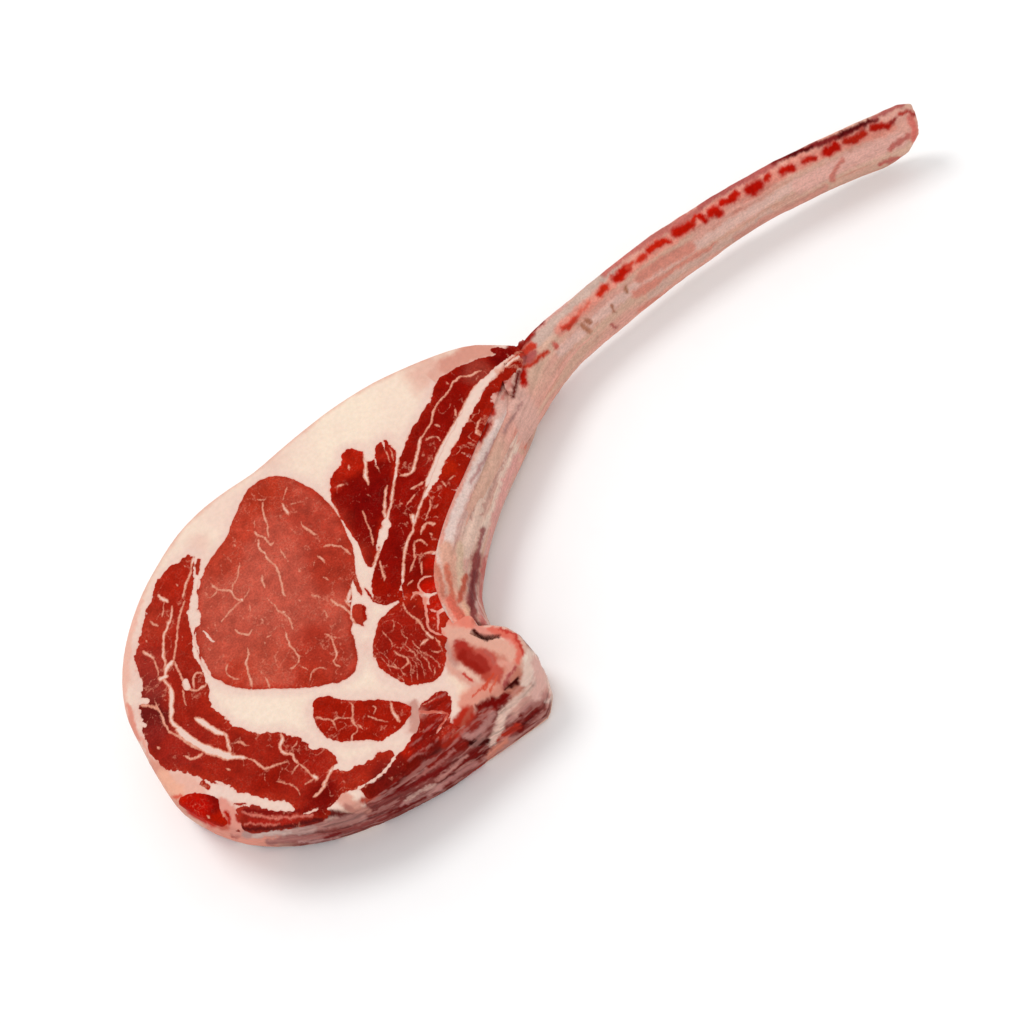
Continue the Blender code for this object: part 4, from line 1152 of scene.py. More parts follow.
class Meat:
    """The whole surface of the meat: its points, faces and what each point is coloured by."""

    def __init__(self):
        self.plan = Plan()
        self.read_solids()
        self.make_fields()
        self.shape_rim()
        self.make_points()
        self.make_faces()

    def read_solids(self):
        plan = self.plan
        self.distance = {name: plan.signed_distance(outline_at(name, SLICE_Z)) for name in SOLIDS}
        self.slit = plan.signed_distance(loop(JOINT_SLIT))
        covers = [plan.signed_distance(outline_at(name, SLICE_Z)) for name in ("rib_membrane", "rib_bone")]
        self.free = smooth(*RIB_NEAR, np.minimum(*covers))  # 0 beside the rib, 1 away from it
        nearest = np.minimum.reduce(list(self.distance.values())) - CLOSED_GAP
        x, y, radius = NECK_GAP
        nearest = np.minimum(nearest, np.hypot(plan.x - x, plan.y - y) - radius)
        self.outside = np.minimum(nearest, self.slit - SLIT_FILL)
        self.cells = cells_inside(self.outside)
        order = np.stack([at_cells(self.distance[name]) for name in SOLIDS])
        order[:-1] -= MUSCLE_FIRST
        self.owner = order.argmin(0)
        self.owner[(self.owner == len(SOLIDS) - 1) & (plan.x[:-1, :-1] < FAT_SPLIT_X)] = len(SOLIDS)

    def make_fields(self):
        """The border of the lean and the veins, both in mm and positive within."""
        plan = self.plan
        lean = np.stack([LEANS[name].growth - self.distance[name] for name in MUSCLES])
        for name, reaches in GROWTH.items():
            for pixels, reach, line in reaches:
                gap = np.full(plan.x.shape, NO_GROWTH)
                plan.draw(gap, [(0, line)], plan.x, plan.y)
                lean[MUSCLES.index(name)] += pixels * MM_PER_PIXEL * smooth(-reach * MM_PER_PIXEL, 0, gap)
        self.muscle = lean.argmax(0)
        self.core = lean.max(0)
        ragged = 0.6 * plan.rough(4.4, 31) + 0.45 * plan.rough(1.6, 41, 2)
        self.border = self.core + self.of_muscle("jag") * ragged
        plan.draw(self.border, LEAN_MARKS)
        notches = np.full(plan.x.shape, NO_NOTCH)
        plan.draw(notches, FAT_MARKS)
        self.border = np.minimum(self.border, -notches)
        uneven = 0.16 * plan.rough(2.4, 45, 2)
        web = self.marbling_web()
        drift = [7 * plan.rough(24, seed, 2) for seed in (51, 61)]
        self.vein, self.lower_vein = np.full((2, *plan.x.shape), NO_VEIN)
        plan.draw(self.vein, VEINS)
        plan.draw(self.lower_vein, VEINS, plan.wavy_x + drift[0], plan.wavy_y + drift[1])
        self.vein = np.maximum(self.vein + uneven, web)
        self.lower_vein = np.maximum(self.lower_vein + uneven, web)

    def of_muscle(self, key):
        """One of LEANS' values, for the muscle at each point of the plan."""
        return np.array([linear(getattr(lean, key)) for lean in LEANS.values()])[self.muscle]

    def marbling_web(self):
        """Fine broken threads of fat between the drawn ones, closer in some muscles than in others."""
        plan = self.plan
        threads = np.full(plan.x.shape, NO_VEIN)
        for size, seed in ((4.5, 501), (7.0, 511)):
            ridge = np.abs(rough(plan.wavy_x, plan.wavy_y, size, seed, 2)) * size * 0.42
            patch = smooth(-0.1, 0.35, plan.rough(size * 1.6, seed + 5, 2))
            threads = np.maximum(threads, 0.22 - ridge - 0.5 * (1 - patch))
        return threads - 0.3 + self.of_muscle("web")

    def shape_rim(self):
        """The order of the points round the meat, moved from the grid onto its smooth outline."""
        plan = self.plan
        self.rim, self.rim_cells = rim_of(self.cells)
        i, j = self.rim.T
        slope_x, slope_y = np.gradient(self.outside, GRID)
        slope = np.stack([slope_x[i, j], slope_y[i, j]], 1)
        steep = np.maximum((slope**2).sum(1, keepdims=True), 0.2)
        spots = np.stack([plan.x[i, j], plan.y[i, j]], 1) - slope / steep * self.outside[i, j, None]
        spots = evened(spots, 3)
        along = np.roll(spots, -3, 0) - np.roll(spots, 3, 0)
        out = evened(np.stack([along[:, 1], -along[:, 0]], 1), 6)
        self.out = out / np.linalg.norm(out, axis=1, keepdims=True)
        self.rim_spots = spots + self.out * TUCK * (1 - self.free[i, j])[:, None]
        steps = np.linalg.norm(np.roll(spots, -1, 0) - spots, axis=1)
        self.rim_length = np.concatenate([[0], np.cumsum(steps)])
        self.within = np.maximum(-plan.signed_distance(loop(self.rim_spots)), 0)
        self.within[i, j] = 0
        for field in (self.border, self.vein):
            field[i, j] = evened(field[i, j], 8)

    def upper_height(self):
        plan, free = self.plan, self.free
        drop = np.interp(self.within, *zip(*UPPER_EDGE)) * free
        drop += np.interp(self.within, *zip(*TIGHT_EDGE)) * (1 - free)
        lean = smooth(-0.5, 0.9, self.border) * (1 - smooth(-0.3, 0.5, self.vein))
        grain = 0.10 * plan.rough(1.7, 71, 2) + 0.16 * plan.rough(6, 81, 2)
        fat_grain = 0.05 * plan.rough(2.5, 91, 2) + 0.12 * plan.rough(9, 95, 2)
        raised = self.of_muscle("rise") * smooth(-0.4, 0.5, self.border)
        relief = raised + grain * lean + fat_grain * (1 - lean)
        relief += 0.25 * plan.rough(34, 101, 2)
        relief -= 0.05 * np.exp(-((self.border / 0.4) ** 2))
        relief += 0.10 * smooth(-0.2, 0.5, self.vein) * smooth(0.5, 1.5, self.core)
        height = THICKNESS - drop + (relief - 0.25) * smooth(0.2, 2.0, self.within)
        return height - SLIT_DEPTH * smooth(0.5, -0.9, self.slit)

    def lower_height(self):
        plan = self.plan
        lift = np.interp(self.within, *zip(*LOWER_EDGE)) * self.free
        lift += np.interp(self.within, *zip(*TIGHT_EDGE)) * (1 - self.free)
        lean = smooth(-0.5, 0.9, self.border)
        dents = 0.18 * plan.rough(3, 111, 2) * lean + 0.12 * plan.rough(12, 121, 2)
        return lift + np.maximum(0.12 + dents, 0) * smooth(0.5, 3, self.within)

    def make_points(self):
        plan = self.plan
        x, y = plan.x.copy(), plan.y.copy()
        i, j = self.rim.T
        x[i, j], y[i, j] = self.rim_spots.T
        top, base = self.upper_height(), self.lower_height()
        share = np.linspace(0, 1, WALL_ROWS + 1)[1:-1, None]
        z = top[i, j] * (1 - share) + base[i, j] * share
        self.wall_z, self.wall_along = z, np.broadcast_to(self.rim_length[:-1], z.shape)
        stand_out = np.interp(z, *zip(*BULGE)) * self.free[i, j]
        stand_out = stand_out + self.wall_relief(z, self.free[i, j])
        wall_x = self.rim_spots[:, 0] + self.out[:, 0] * stand_out
        wall_y = self.rim_spots[:, 1] + self.out[:, 1] * stand_out
        self.upper = np.arange(x.size).reshape(x.shape)
        self.lower = self.upper + x.size
        self.wall = 2 * x.size + np.arange(z.size).reshape(z.shape)
        parts = [(x, y, top), (x, y, base), (wall_x, wall_y, z)]
        self.points = np.concatenate([placed(*part).reshape(-1, 3) for part in parts])
        self.flat = np.concatenate([np.stack(part, -1).reshape(-1, 3) for part in parts])

    def wall_relief(self, z, free):
        """Strands that run along the side, and shallow folds."""
        along = self.rim_length[:-1] + 0 * z
        slant = z + STRAND_SLOPE * along
        strands = 0.45 * rough(along / 9, slant, 4.0, 131) + 0.5 * rough(along / 3, slant, 11, 141, 2)
        ragged = 0.3 * rough(along / 2, slant, 2.2, 145, 2)
        fade = smooth(0, 4, z - 1.5) * smooth(0, 4, 45 - z)
        return (strands * 0.8 + ragged) * fade * free * (0.35 + 0.65 * self.side_cut())

    def make_faces(self):
        """Corners and owner of every face, and for the side's also its step along the rim and its row."""
        i, j = np.argwhere(self.cells).T
        owner = self.owner[i, j]
        corners = [(0, 0), (1, 0), (1, 1), (0, 1)]
        upper = np.stack([self.upper[i + a, j + b] for a, b in corners], 1)
        lower = np.stack([self.lower[i + a, j + b] for a, b in corners[::-1]], 1)
        i, j = self.rim.T
        column = np.vstack([self.upper[i, j], self.wall, self.lower[i, j]])
        self.columns = dict(zip(map(tuple, self.rim.tolist()), column.T.tolist()))
        beside = np.roll(column, -1, 1)
        side = np.stack([column[:-1], column[1:], beside[1:], beside[:-1]], -1).reshape(-1, 4)
        rows, length = len(column) - 1, len(self.rim)
        self.side_step, self.side_row = np.tile(np.arange(length), rows), np.repeat(np.arange(rows), length)
        side_owner = self.owner[self.rim_cells[:, 0], self.rim_cells[:, 1]][self.side_step]
        self.quads = {"upper": (upper, owner), "lower": (lower, owner), "side": (side, side_owner)}
        self.inner = self.inner_walls()

    def inner_walls(self):
        """Upright faces that close each piece where it meets the next."""
        owner, cells, found = self.owner, self.cells, []
        met = cells[:-1] & cells[1:] & (owner[:-1] != owner[1:])
        steps = [(i, j, (i + 1, j), (i + 1, j), (i + 1, j + 1)) for i, j in np.argwhere(met).tolist()]
        met = cells[:, :-1] & cells[:, 1:] & (owner[:, :-1] != owner[:, 1:])
        steps += [(i, j, (i, j + 1), (i + 1, j + 1), (i, j + 1)) for i, j in np.argwhere(met).tolist()]
        for i, j, beyond, first, second in steps:
            face = [*self.column(first), *self.column(second)[::-1]]
            found += [(face, owner[i, j]), (face[::-1], owner[beyond])]
        return found

    def column(self, point):
        return self.columns.get(point) or [int(self.upper[point]), int(self.lower[point])]

    # ------------------------------------------------------------------------------- the meat's colours

    def make_colours(self):
        """What the flesh's material reads: border and vein in mm, and colours of lean, fat and side."""
        plan, count = self.plan, self.plan.x.size
        i, j = self.rim.T
        lean, fat = self.face_colours()
        over = self.marbled(lean, fat)[i, j]
        self.values = {
            "border": self.spread(self.border, self.border),
            "vein": self.spread(self.vein, self.lower_vein),
            "side": np.concatenate([np.zeros(2 * count), np.ones(self.wall.size)]),
        }
        seen, facing = self.visible()
        fat = fat.reshape(-1, 3)
        near = np.flatnonzero((plan.y < 0) | (plan.x < CORNER_X) | (plan.x > NECK_X))
        upper_fat = fat.copy()
        upper_fat[near] = stroked(fat[near], seen[near], SIDE_STROKES + NECK_STROKES, facing[near])
        lean = lean.reshape(-1, 3)
        lean[near] = stroked(lean[near], seen[near], LEAN_STROKES, facing[near])
        side = slice(2 * count, None)
        wall = stroked(self.wall_colours(over), seen[side], SIDE_STROKES + NECK_STROKES, facing[side])
        wall = stroked(self.streaked(wall), seen[side], CLOT_STROKES, facing[side])
        shape = (*plan.x.shape, 3)
        over = self.marbled(lean.reshape(shape), upper_fat.reshape(shape)).reshape(-1, 3)
        self.colours = {
            "lean": np.concatenate([lean, lean, wall]),
            "fat": np.concatenate([upper_fat, fat, wall]),
            "paint": np.concatenate([over, over, wall]),
        }

    def spread(self, upper, lower):
        """A value at every point of the upper face, the lower one and, as at the upper rim, the side."""
        i, j = self.rim.T
        return np.concatenate([upper.ravel(), lower.ravel(), np.tile(upper[i, j], len(self.wall))])

    def visible(self):
        """Every point's pixel, and 1 where its surface faces the camera."""
        count = self.plan.x.size
        ahead = smooth(*SIDE_FACING, self.out @ BACK[:2])
        facing = [np.ones(count), np.zeros(count), np.tile(ahead, len(self.wall))]
        return seen_at(self.points), np.concatenate(facing)

    def face_colours(self):
        plan = self.plan
        wander = plan.rough(7, 151)
        deep = smooth(0.3, 3.2, self.core + 0.6 * wander)
        lean = mixed(self.of_muscle("edge"), self.of_muscle("core"), deep)
        lean = patched(lean, plan, LEAN_PATCHES)
        grain = 0.09 * plan.rough(11, 161) + 0.12 * plan.rough(3.4, 163, 2)
        lean = self.torn(lean * (1 + grain)[..., None])
        fat = np.broadcast_to(linear(CREAM), lean.shape)
        fat = mixed(fat, SEAM_FAT, 0.35 + 0.35 * np.clip(plan.rough(26, 171), -1, 1))
        fat = patched(fat, plan, FAT_PATCHES)
        fat = mixed(fat, SALMON, 0.6 * smooth(4.5, 0.3, self.within + 1.2 * wander) * self.free)
        fat = mixed(fat, SEAM_FAT, 0.8 * smooth(-7.0, -1.4, self.border + 0.7 * wander))
        fat = mixed(fat, PINK_FAT, 0.5 * smooth(-0.9, 0.0, self.border + 0.2 * wander))
        return lean, fat

    def torn(self, lean):
        """The chine muscle's coarse strands, which run as the cut's edge does."""
        plan = self.plan
        first, second = on_upper_face(TORN_WAY)
        way = (second - first) / np.linalg.norm(second - first)
        along, across = plan.x * way[0] + plan.y * way[1], plan.y * way[0] - plan.x * way[1]
        across = across + 0.8 * plan.rough(8, 167, 2)
        here = smooth(2.0, -2.0, self.distance["chine_muscle"]) * smooth(*TORN_DEPTH, self.within)
        dark = smooth(0.1, 0.5, rough(along / 4, across, 2.2, 165)) * here
        pale = smooth(0.3, 0.65, rough(along / 4, across, 1.8, 169)) * here
        lean = mixed(lean, lean * 0.6, 0.8 * dark)
        return mixed(lean, lean * 0.5 + linear(MEMBRANE_PINK) * 0.5, 0.6 * pale)

    def marbled(self, lean, fat):
        """The colour of the upper face where its lean turns to fat."""
        return mixed(fat, lean, smooth(-0.2, 0.2, self.border) * (1 - smooth(-0.2, 0.2, self.vein)))

    def wall_colours(self, over):
        """The side: dark streaks in front, pale fat behind, and the upper face's colours near its top."""
        z = self.wall_z
        x, y = (np.broadcast_to(spots, z.shape) for spots in self.rim_spots.T)
        slant = z + STRAND_SLOPE * self.wall_along
        streak = rough(self.wall_along / 7, slant, 3.0, 181)
        broad = rough(self.wall_along / 4, slant, 9.0, 191, 2)
        cut = mixed(PURPLE, MAROON, smooth(-0.3, 0.5, streak + 0.4 * broad))
        cut = mixed(cut, MEMBRANE_PINK, 0.8 * smooth(0.15, 0.6, broad - 0.5 * streak))
        rind = mixed(linear(CREAM) * 0.96, PALE_SALMON, smooth(-0.5, 0.9, broad + 0.3 * streak))
        rind = mixed(rind, RED, 0.45 * smooth(0.55, 0.85, streak) * smooth(0.0, 0.5, broad))
        pale = mixed(BONE_PINK, MEMBRANE_PINK, smooth(-0.4, 0.6, broad))
        pale = mixed(pale, RED, 0.6 * smooth(0.3, 0.7, streak))
        rind = mixed(rind, SALMON, 0.7 * smooth(*PINK_X, x) * smooth(*PINK_Y, y))
        wall = mixed(rind, cut, self.side_cut())
        wall = mixed(wall, pale, smooth(*RIB_SIDE_X, x) * smooth(*RIB_SIDE_Y, y))
        wall = mixed(wall, over[None], smooth(*TOP_Z, z + 2 * broad))
        return wall.reshape(-1, 3)

    def side_cut(self):
        """1 where the side is cut flesh and bone, 0 where it is the fat's rind."""
        share = smooth(*CUT_Y, self.rim_spots[:, 1]) * smooth(*CUT_X, self.rim_spots[:, 0])
        return np.broadcast_to(share, self.wall_z.shape)

    def streaked(self, wall):
        """The side's colours with fine strands along it."""
        z, along = self.wall_z.ravel(), self.wall_along.ravel()
        slant = z + FINE_SLOPE * along + 1.2 * rough(along, z, 9, 193, 2)
        strands = rough(along / 5, slant, 1.3, 195, 2)
        dark, pale = rough(along / 4, slant, 2.6, 197, 3), rough(along / 4, slant, 2.2, 199, 3)
        strength = 0.15 + 0.85 * self.side_cut().ravel()
        wall = wall * (1 + (0.04 + 0.12 * strength) * strands)[:, None]
        wall = mixed(wall, wall * 0.55, 0.7 * strength * smooth(0.2, 0.55, dark))
        pale = 0.75 * strength * smooth(0.25, 0.6, pale)
        return mixed(wall, wall * 0.45 + linear(MEMBRANE_PINK) * 0.55, pale)

    # -------------------------------------------------------------------------------- the meat's pieces

    def map_places(self, kind, corners, chosen, low, scale):
        """Places on the piece's map: the faces as in plan, and the side in bands beside them."""
        start = MAP_STARTS[kind]
        if kind != "side":
            size = scale if kind == "upper" else scale / 2
            return (self.flat[corners][..., :2] - low) * size + start
        order = np.unique(self.side_step[chosen], return_inverse=True)[1]
        length = (order.max() + 1) / SIDE_BANDS
        band = np.floor(order / length)
        across = order - band * length
        u = start[0] + np.stack([across, across, across + 1, across + 1], -1) * BAND_ROOM[0] / (length + 1)
        row = self.side_row[chosen] / (WALL_ROWS + 1)
        below = row + 1 / (WALL_ROWS + 1)
        v = start[1] + band[:, None] * BAND_STEP + np.stack([row, below, below, row], -1) * BAND_ROOM[1]
        return np.stack([u, v], -1)

    def piece(self, name, index, material):
        loops, sizes, places = [], [], []
        corners, owner = self.quads["upper"]
        spots = self.flat[np.unique(corners[owner == index])][:, :2]
        low, span = spots.min(0), np.ptp(spots, 0)
        scale = min(UPPER_ROOM / span)
        for kind, (corners, owner) in self.quads.items():
            chosen = np.flatnonzero(owner == index)
            if len(chosen):
                loops.append(corners[chosen].ravel())
                sizes.append(np.full(len(chosen), 4))
                places.append(self.map_places(kind, corners[chosen], chosen, low, scale).reshape(-1, 2))
        start = MAP_STARTS["inner"]
        for k, face in enumerate(face for face, owner in self.inner if owner == index):
            loops.append(np.array(face))
            sizes.append([len(face)])
            turn = np.linspace(0, 1, len(face))  # how far round the face each corner is
            column, row = k % INNER_COLUMNS, k // INNER_COLUMNS % INNER_ROWS
            up = INNER_ROOM[1] - INNER_ROOM[1] * np.abs(2 * turn - 1)
            corner = (start[0] + column * INNER_STEP[0], start[1] + row * INNER_STEP[1])
            places.append(np.stack([(turn > 0.5) * INNER_ROOM[0], up], -1) + corner)
        used, loops = np.unique(np.concatenate(loops), return_inverse=True)
        values = {key: value[used] for key, value in {**self.values, **self.colours}.items()}
        sizes, places = np.concatenate(sizes), np.concatenate(places)
        mesh = new_mesh(name, self.points[used], loops, sizes, values, places)
        mesh.set_sharp_from_angle(angle=math.radians(SHARP_ANGLE))
        return new_piece(name, mesh, material)


def loop(corners):
    """Segments of the closed line through these corners."""
    corners = np.array(corners, float)
    return np.stack([corners, np.roll(corners, -1, 0)], 1)


def new_mesh(name, points, loops, sizes, values, places):
    """A smooth mesh with these numbers or colours at its points, and a map of its own."""
    mesh = bpy.data.meshes.new(name)
    mesh.vertices.add(len(points))
    mesh.vertices.foreach_set("co", points.astype(np.float32).ravel())
    mesh.loops.add(len(loops))
    mesh.loops.foreach_set("vertex_index", loops.astype(np.int32).ravel())
    mesh.polygons.add(len(sizes))
    mesh.polygons.foreach_set("loop_start", np.concatenate([[0], np.cumsum(sizes)[:-1]]).astype(np.int32))
    mesh.update(calc_edges=True)
    for key, value in values.items():
        if value.ndim == 1:
            mesh.attributes.new(key, "FLOAT", "POINT").data.foreach_set("value", value.astype(np.float32))
        else:
            set_colours(mesh, key, value)
    mesh.uv_layers.new(name="OFBake").data.foreach_set("uv", places.astype(np.float32).ravel())
    mesh.shade_smooth()
    return mesh


def set_colours(mesh, key, colours):
    colours = np.column_stack([np.clip(colours, 0, 1), np.ones(len(colours))]).astype(np.float32)
    mesh.attributes.new(key, "FLOAT_COLOR", "POINT").data.foreach_set("color", colours.ravel())


def new_piece(name, mesh, material):
    mesh.materials.append(material)
    piece = bpy.data.objects.new(name, mesh)
    bpy.context.scene.collection.objects.link(piece)
    return piece


def seen_at(points):
    """Pixels of the photograph where these points of the frame, in metres, show."""
    away = points / MM + [*PLAN_ORIGIN, 0] - EYE_POINT
    depth = -(away @ BACK)
    across, up = FOCAL_PIXELS * (away @ RIGHT) / depth, FOCAL_PIXELS * (away @ UP) / depth
    return np.stack([PHOTO_SIDE / 2 + across, PHOTO_SIDE / 2 - up], -1)


def patched(colours, plan, patches):
    """Soft patches of colour on the upper face: pixel, radius in pixels, colour and strength."""
    wander = 0.3 * plan.rough(9, 201)
    for spot, radius, colour, strength in patches:
        middle = on_upper_face([spot])[0]
        away = np.hypot(plan.x - middle[0], plan.y - middle[1]) / (radius * MM_PER_PIXEL * PATCH_REACH)
        colours = mixed(colours, colour, strength * smooth(*PATCH_FADE, away + wander))
    return colours


def stroked(colours, seen, strokes, facing):
    """Lays strokes of colour over points, by the pixels where these show."""
    colours = colours.copy()
    wander = np.stack([rough(*seen.T, 5, seed) for seed in (211, 221)], -1)
    fray = np.stack([rough(*seen.T, 1.8, seed, 2) for seed in (231, 241)], -1)
    seen = seen + wander * STROKE_WAVER + fray * STROKE_FRAY
    for colour, width, pixels in strokes:
        line = through(pixels)
        low, high = line.min(0) - width, line.max(0) + width
        near = np.flatnonzero(((seen > low) & (seen < high)).all(1) & (facing > 0))
        gap = np.full(len(near), 1e3)
        for first, second in zip(line, line[1:]):
            gap = np.minimum(gap, to_segment(*seen[near].T, first, second)[0])
        soft = min(1.2 + 0.12 * width, width / 2.4)  # half the width of the stroke's soft edge
        share = smooth(width / 2 + soft, width / 2 - soft, gap) * facing[near]
        colours[near] = mixed(colours[near], colour, share)
    return colours


# ----------------------------------------------------------------------------------- the rib and membrane


def along_rib(points):
    """Distance along the rib's middle line, and to its side in plan, of points in plan."""
    line = through(RIB_LINE, 5)
    steps = np.linalg.norm(np.diff(line, axis=0), axis=1)
    lengths = np.concatenate([[0], np.cumsum(steps)])
    best = np.full(len(points), 1e9)
    along, across = np.zeros(len(points)), np.zeros(len(points))
    for k, (first, second) in enumerate(zip(line, line[1:])):
        gap, share = to_segment(points[:, 0], points[:, 1], first, second)
        way = (second - first) / steps[k]
        turn = way[0] * (points[:, 1] - first[1]) - way[1] * (points[:, 0] - first[0])
        nearer = gap < best
        best = np.where(nearer, gap, best)
        along = np.where(nearer, lengths[k] + share * steps[k], along)
        across = np.where(nearer, turn, across)
    return along, across


def finer_mesh(name, rounds):
    """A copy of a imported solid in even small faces, with its facets smoothed."""
    source = bpy.data.objects.new("finer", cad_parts[name].data.copy())
    bpy.context.scene.collection.objects.link(source)
    remesh = source.modifiers.new("even", "REMESH")
    remesh.mode, remesh.voxel_size = "VOXEL", RIB_FACE
    soften = source.modifiers.new("soft", "SMOOTH")
    soften.factor, soften.iterations = 0.5, rounds
    mesh = bpy.data.meshes.new_from_object(source.evaluated_get(bpy.context.evaluated_depsgraph_get()))
    bpy.data.objects.remove(source)
    return mesh


def rib_piece(name, rounds, strokes, base, relief, material):
    """The rib or its membrane, with relief and colours that run along it."""
    mesh = finer_mesh(name, rounds)
    points, normals = (triples(mesh.vertices, key).astype(float) for key in ("co", "normal"))
    flat = plan_of(points)
    along, across = along_rib(flat[:, :2])
    turn = np.arctan2(flat[:, 2] - THICKNESS / 2, across) * RIB_ROUND
    height = relief(along, turn, flat, normals)
    moved = points + normals * height[:, None] * MM
    if name == "rib_membrane":
        moved = joined_to("rib_bone", points, moved)
    mesh.vertices.foreach_set("co", moved.astype(np.float32).ravel())
    facing = smooth(*RIB_FACING, normals @ BACK)
    colours = stroked(base(along, turn, flat), seen_at(points), strokes + NECK_STROKES, facing)
    colours *= (1 + 0.09 * rough(along / 14, turn, 1.3, 391, 2))[:, None]
    set_colours(mesh, "paint", colours)
    mesh.shade_smooth()
    mesh.materials.clear()
    return new_piece(name + "_dressed", mesh, material)


def joined_to(name, points, moved):
    """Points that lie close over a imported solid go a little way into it, so that no crack shows between."""
    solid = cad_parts[name]
    nearest = np.array([solid.closest_point_on_mesh(Vector(point))[1] for point in points])
    gap = np.linalg.norm(points - nearest, axis=1, keepdims=True)
    inward = (nearest - points) / np.maximum(gap, 1e-6)
    share = smooth(*THIN_SKIN, gap)
    return moved * (1 - share) + (points + inward * (gap + SUNK)) * share


def bone_relief(along, turn, flat, normals):
    grooves = 0.22 * rough(along / 9, turn, 3.2, 301) + 0.12 * rough(along / 3, turn, 1.6, 311, 2)
    lumps = 0.25 * rough(along, turn, 16, 321, 2)
    return (grooves + lumps) * smooth(0.3, 3, flat[:, 2])


def bone_base(along, turn, flat):
    streak = rough(along / 8, turn, 3.0, 331)
    broad = rough(along / 5, turn, 8.0, 341, 2)
    colour = mixed(BONE_BEIGE, BONE_PINK, smooth(-0.5, 0.6, broad))
    colour = mixed(colour, SALMON, 0.5 * smooth(0.1, 0.7, streak))
    return mixed(colour, RED, 0.3 * smooth(0.6, 0.9, streak + 0.3 * broad))


def membrane_relief(along, turn, flat, normals):
    folds = 0.65 * rough(along / 12, turn, 4.5, 351, 2) + 0.22 * rough(along / 7, turn, 2.0, 361, 2)
    upper = smooth(0.2, 0.7, normals[:, 2])
    return (folds * (0.3 + 0.7 * upper) + 0.4) * smooth(0.3, 3, flat[:, 2])


def membrane_base(along, turn, flat):
    streak = rough(along / 14, turn, 2.6, 371)
    broad = rough(along / 9, turn, 7.0, 381, 2)
    colour = mixed(MEMBRANE_WHITE, BONE_BEIGE, smooth(-0.3, 0.6, broad))
    colour = mixed(colour, MEMBRANE_PINK, 0.6 * smooth(0.0, 0.6, streak))
    return mixed(colour, SALMON, 0.4 * smooth(0.45, 0.8, streak - 0.3 * broad))


# ---------------------------------------------------------------------------------------- the materials


class Look:
    """A material's nodes, with a short call for each kind used here."""

    def __init__(self, name):
        self.material = bpy.data.materials.new(name)
        self.material.use_nodes = True
        self.tree = self.material.node_tree
        self.tree.nodes.clear()
        self.place = self.add("TexCoord", {}, "Object")

    def add(self, kind, inputs, output=0, **settings):
        node = self.tree.nodes.new("ShaderNode" + kind)
        for key, value in settings.items():
            setattr(node, key, value)
        for key, value in inputs.items():
            if isinstance(value, bpy.types.NodeSocket):
                self.tree.links.new(value, node.inputs[key])
            else:
                node.inputs[key].default_value = value
        return node.outputs[output]

    def value(self, name):
        return self.add("Attribute", {}, "Fac", attribute_name=name)

    def colour(self, name):
        return self.add("Attribute", {}, "Color", attribute_name=name)

    def noise(self, size, detail=3.0):
        """Noise whose features are this many metres across."""
        inputs = {"Vector": self.place, "Scale": 1 / size, "Detail": detail, "Roughness": 0.55}
        return self.add("TexNoise", inputs)

    def ramp(self, value, low, high, start=0.0, end=1.0):
        inputs = {"Value": value, "From Min": low, "From Max": high, "To Min": start, "To Max": end}
        return self.add("MapRange", inputs, interpolation_type="SMOOTHSTEP")

    def maths(self, operation, first, second):
        return self.add("Math", {0: first, 1: second}, operation=operation)

    def scaled(self, colour, share):
        return self.add("VectorMath", {0: colour, "Scale": share}, operation="SCALE")

    def mix(self, first, second, share):
        return self.add("Mix", {0: share, 6: first, 7: second}, 2, data_type="RGBA")

    def finish(self, colour, roughness, height, depth, **constants):
        normal = self.add("Bump", {"Height": height, "Distance": depth, "Strength": 0.8})
        inputs = {"Base Color": colour, "Roughness": roughness, "Normal": normal, **constants}
        output = self.tree.nodes.new("ShaderNodeOutputMaterial")
        self.tree.links.new(self.add("BsdfPrincipled", inputs), output.inputs["Surface"])
        return self.material


def rgba(colour):
    return (*map(float, linear(colour)), 1.0)


def flesh_material(name):
    """Lean with fine grain and marbling, fat round it, and the streaked side."""
    look = Look(name)
    fine, grain, broad = look.noise(0.0009), look.noise(0.0022, 4.0), look.noise(0.009, 2.0)
    ragged = look.ramp(fine, 0.25, 0.75, -0.16, 0.16)
    lean_share = look.ramp(look.maths("ADD", look.value("border"), ragged), -0.16, 0.16)
    depth = look.maths("ADD", look.value("vein"), ragged)
    vein_share = look.maths("MULTIPLY", look.ramp(depth, -0.26, 0.42), lean_share)
    lean = look.scaled(look.colour("lean"), look.ramp(fine, 0.3, 0.7, 0.84, 1.16))
    lean = look.scaled(lean, look.ramp(broad, 0.3, 0.7, 0.94, 1.06))
    ridge = look.maths("ABSOLUTE", look.maths("SUBTRACT", grain, 0.5), 0.0)
    fleck = look.maths("MULTIPLY", look.ramp(ridge, 0.03, 0.0), look.ramp(broad, 0.46, 0.6))
    fleck = look.maths("MULTIPLY", fleck, look.ramp(look.colour("lean"), 0.05, 0.14, 0.06, 0.30))
    lean = look.mix(lean, rgba(VEIN_PINK), fleck)
    vein = look.mix(rgba(VEIN_PINK), rgba(SEAM_FAT), look.ramp(depth, 0.3, 0.95))
    fat = look.scaled(look.colour("fat"), look.ramp(grain, 0.3, 0.7, 0.96, 1.03))
    surface = look.mix(fat, lean, lean_share)
    surface = look.mix(surface, vein, vein_share)
    side = look.scaled(look.colour("paint"), look.ramp(grain, 0.3, 0.7, 0.95, 1.05))
    surface = look.mix(surface, side, look.value("side"))
    roughness = look.ramp(grain, 0.3, 0.7, 0.40, 0.54)
    return look.finish(surface, roughness, look.maths("ADD", fine, grain), FLESH_BUMP, **SOFT_FLESH)


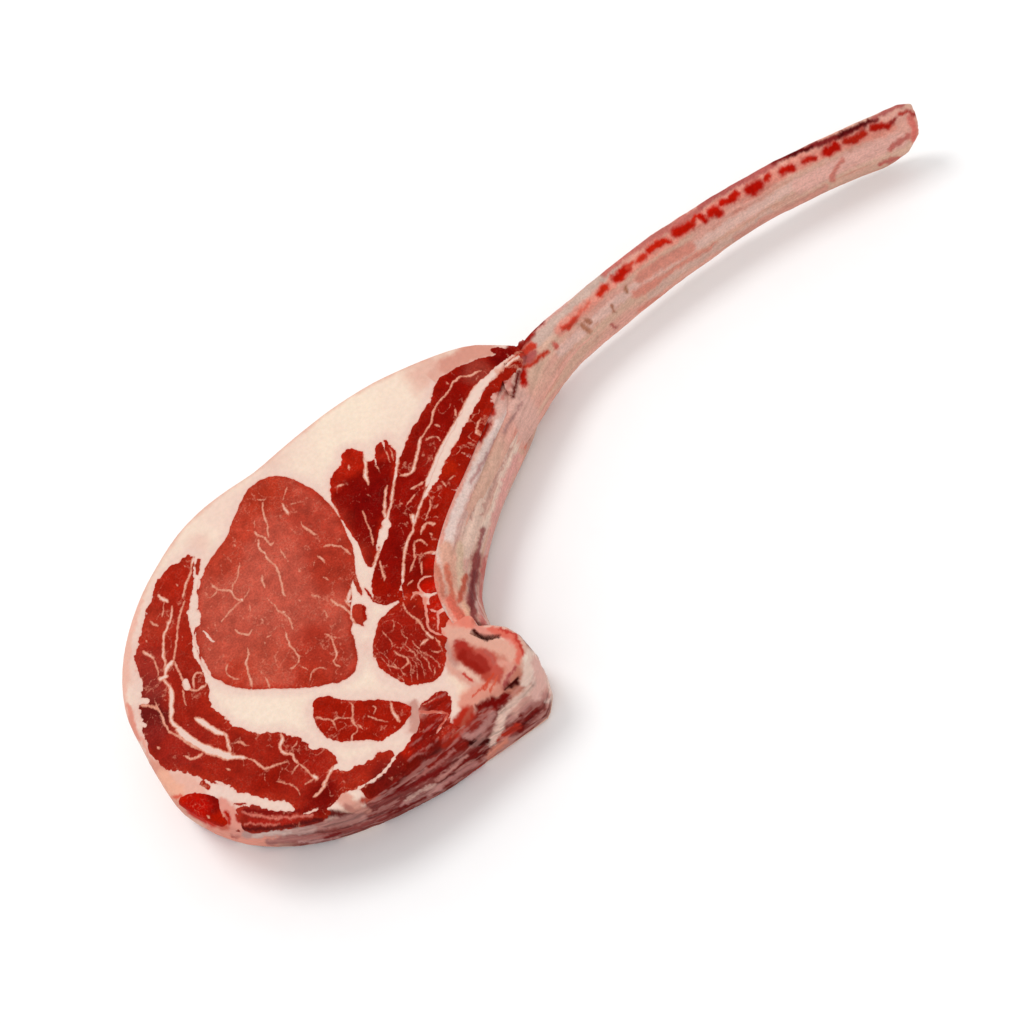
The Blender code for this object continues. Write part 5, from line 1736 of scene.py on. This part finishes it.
def streaked_material(name, roughness):
    """Bone or membrane: painted streaks, with fine pits and fibres."""
    look = Look(name)
    fine, grain = look.noise(0.0011), look.noise(0.004, 4.0)
    colour = look.scaled(look.colour("paint"), look.ramp(fine, 0.3, 0.7, 0.90, 1.10))
    colour = look.scaled(colour, look.ramp(grain, 0.3, 0.7, 0.93, 1.06))
    gloss = look.ramp(grain, 0.3, 0.7, roughness - 0.07, roughness + 0.07)
    return look.finish(colour, gloss, look.maths("ADD", fine, grain), BONE_BUMP, **SOFT_FLESH)


# -------------------------------------------------------------------------------------------- the studio


def area_light(name, place, aim, size, power):
    data = bpy.data.lights.new(name, "AREA")
    data.shape, data.size, data.energy = "DISK", size, power
    light = bpy.data.objects.new(name, data)
    light.location = place
    light.rotation_euler = (Vector(aim) - Vector(place)).to_track_quat("-Z", "Y").to_euler()
    bpy.context.scene.collection.objects.link(light)


def make_studio():
    scene = bpy.context.scene
    scene.view_settings.view_transform = "Standard"
    world = bpy.data.worlds.new("studio")
    world.use_nodes = True
    light = world.node_tree.nodes["Background"].inputs
    light["Color"].default_value, light["Strength"].default_value = (1, 1, 1, 1), WORLD_LIGHT
    scene.world = world
    key = (UP * KEY_UP - RIGHT * KEY_LEFT) * KEY_REACH + np.array([0, 0, KEY_HEIGHT])
    area_light("key", tuple(key), (0, 0, 0), KEY_SIZE, KEY_POWER)
    mesh = bpy.data.meshes.new("floor")
    corners = [(x * FLOOR_HALF, y * FLOOR_HALF, 0) for x, y in ((-1, -1), (1, -1), (1, 1), (-1, 1))]
    mesh.from_pydata(corners, [], [(0, 1, 2, 3)])
    look = Look("floor_white")
    speckle = look.noise(0.02)
    tone = look.mix((0.93, 0.93, 0.93, 1), (0.96, 0.96, 0.96, 1), speckle)
    new_piece("floor", mesh, look.finish(tone, 0.9, speckle, FLOOR_BUMP))


# ------------------------------------------------------------------------------------------- all together


def dress():
    make_camera()
    make_studio()
    slots = ("eye_lean", "dark_lean", "bright_lean", "fat", "cut_bone")
    flesh = {slot: flesh_material(slot) for slot in slots}
    meat = Meat()
    meat.make_colours()
    made = []
    for index, (name, node) in enumerate(PIECES.items()):
        slot = SLOTS.get(node, "dark_lean")
        made.append((meat.piece(name + "_dressed", index, flesh[slot]), node, slot))
    bone, membrane = streaked_material("bone", 0.46), streaked_material("membrane", 0.42)
    made.append((rib_piece("rib_bone", 4, BONE_STROKES, bone_base, bone_relief, bone), "rib_bone", "bone"))
    skin = rib_piece("rib_membrane", 3, MEMBRANE_STROKES, membrane_base, membrane_relief, membrane)
    made.append((skin, "rib_membrane", "membrane"))
    for piece, node, slot in made:
        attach(piece, "root")
        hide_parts(node)


dress()
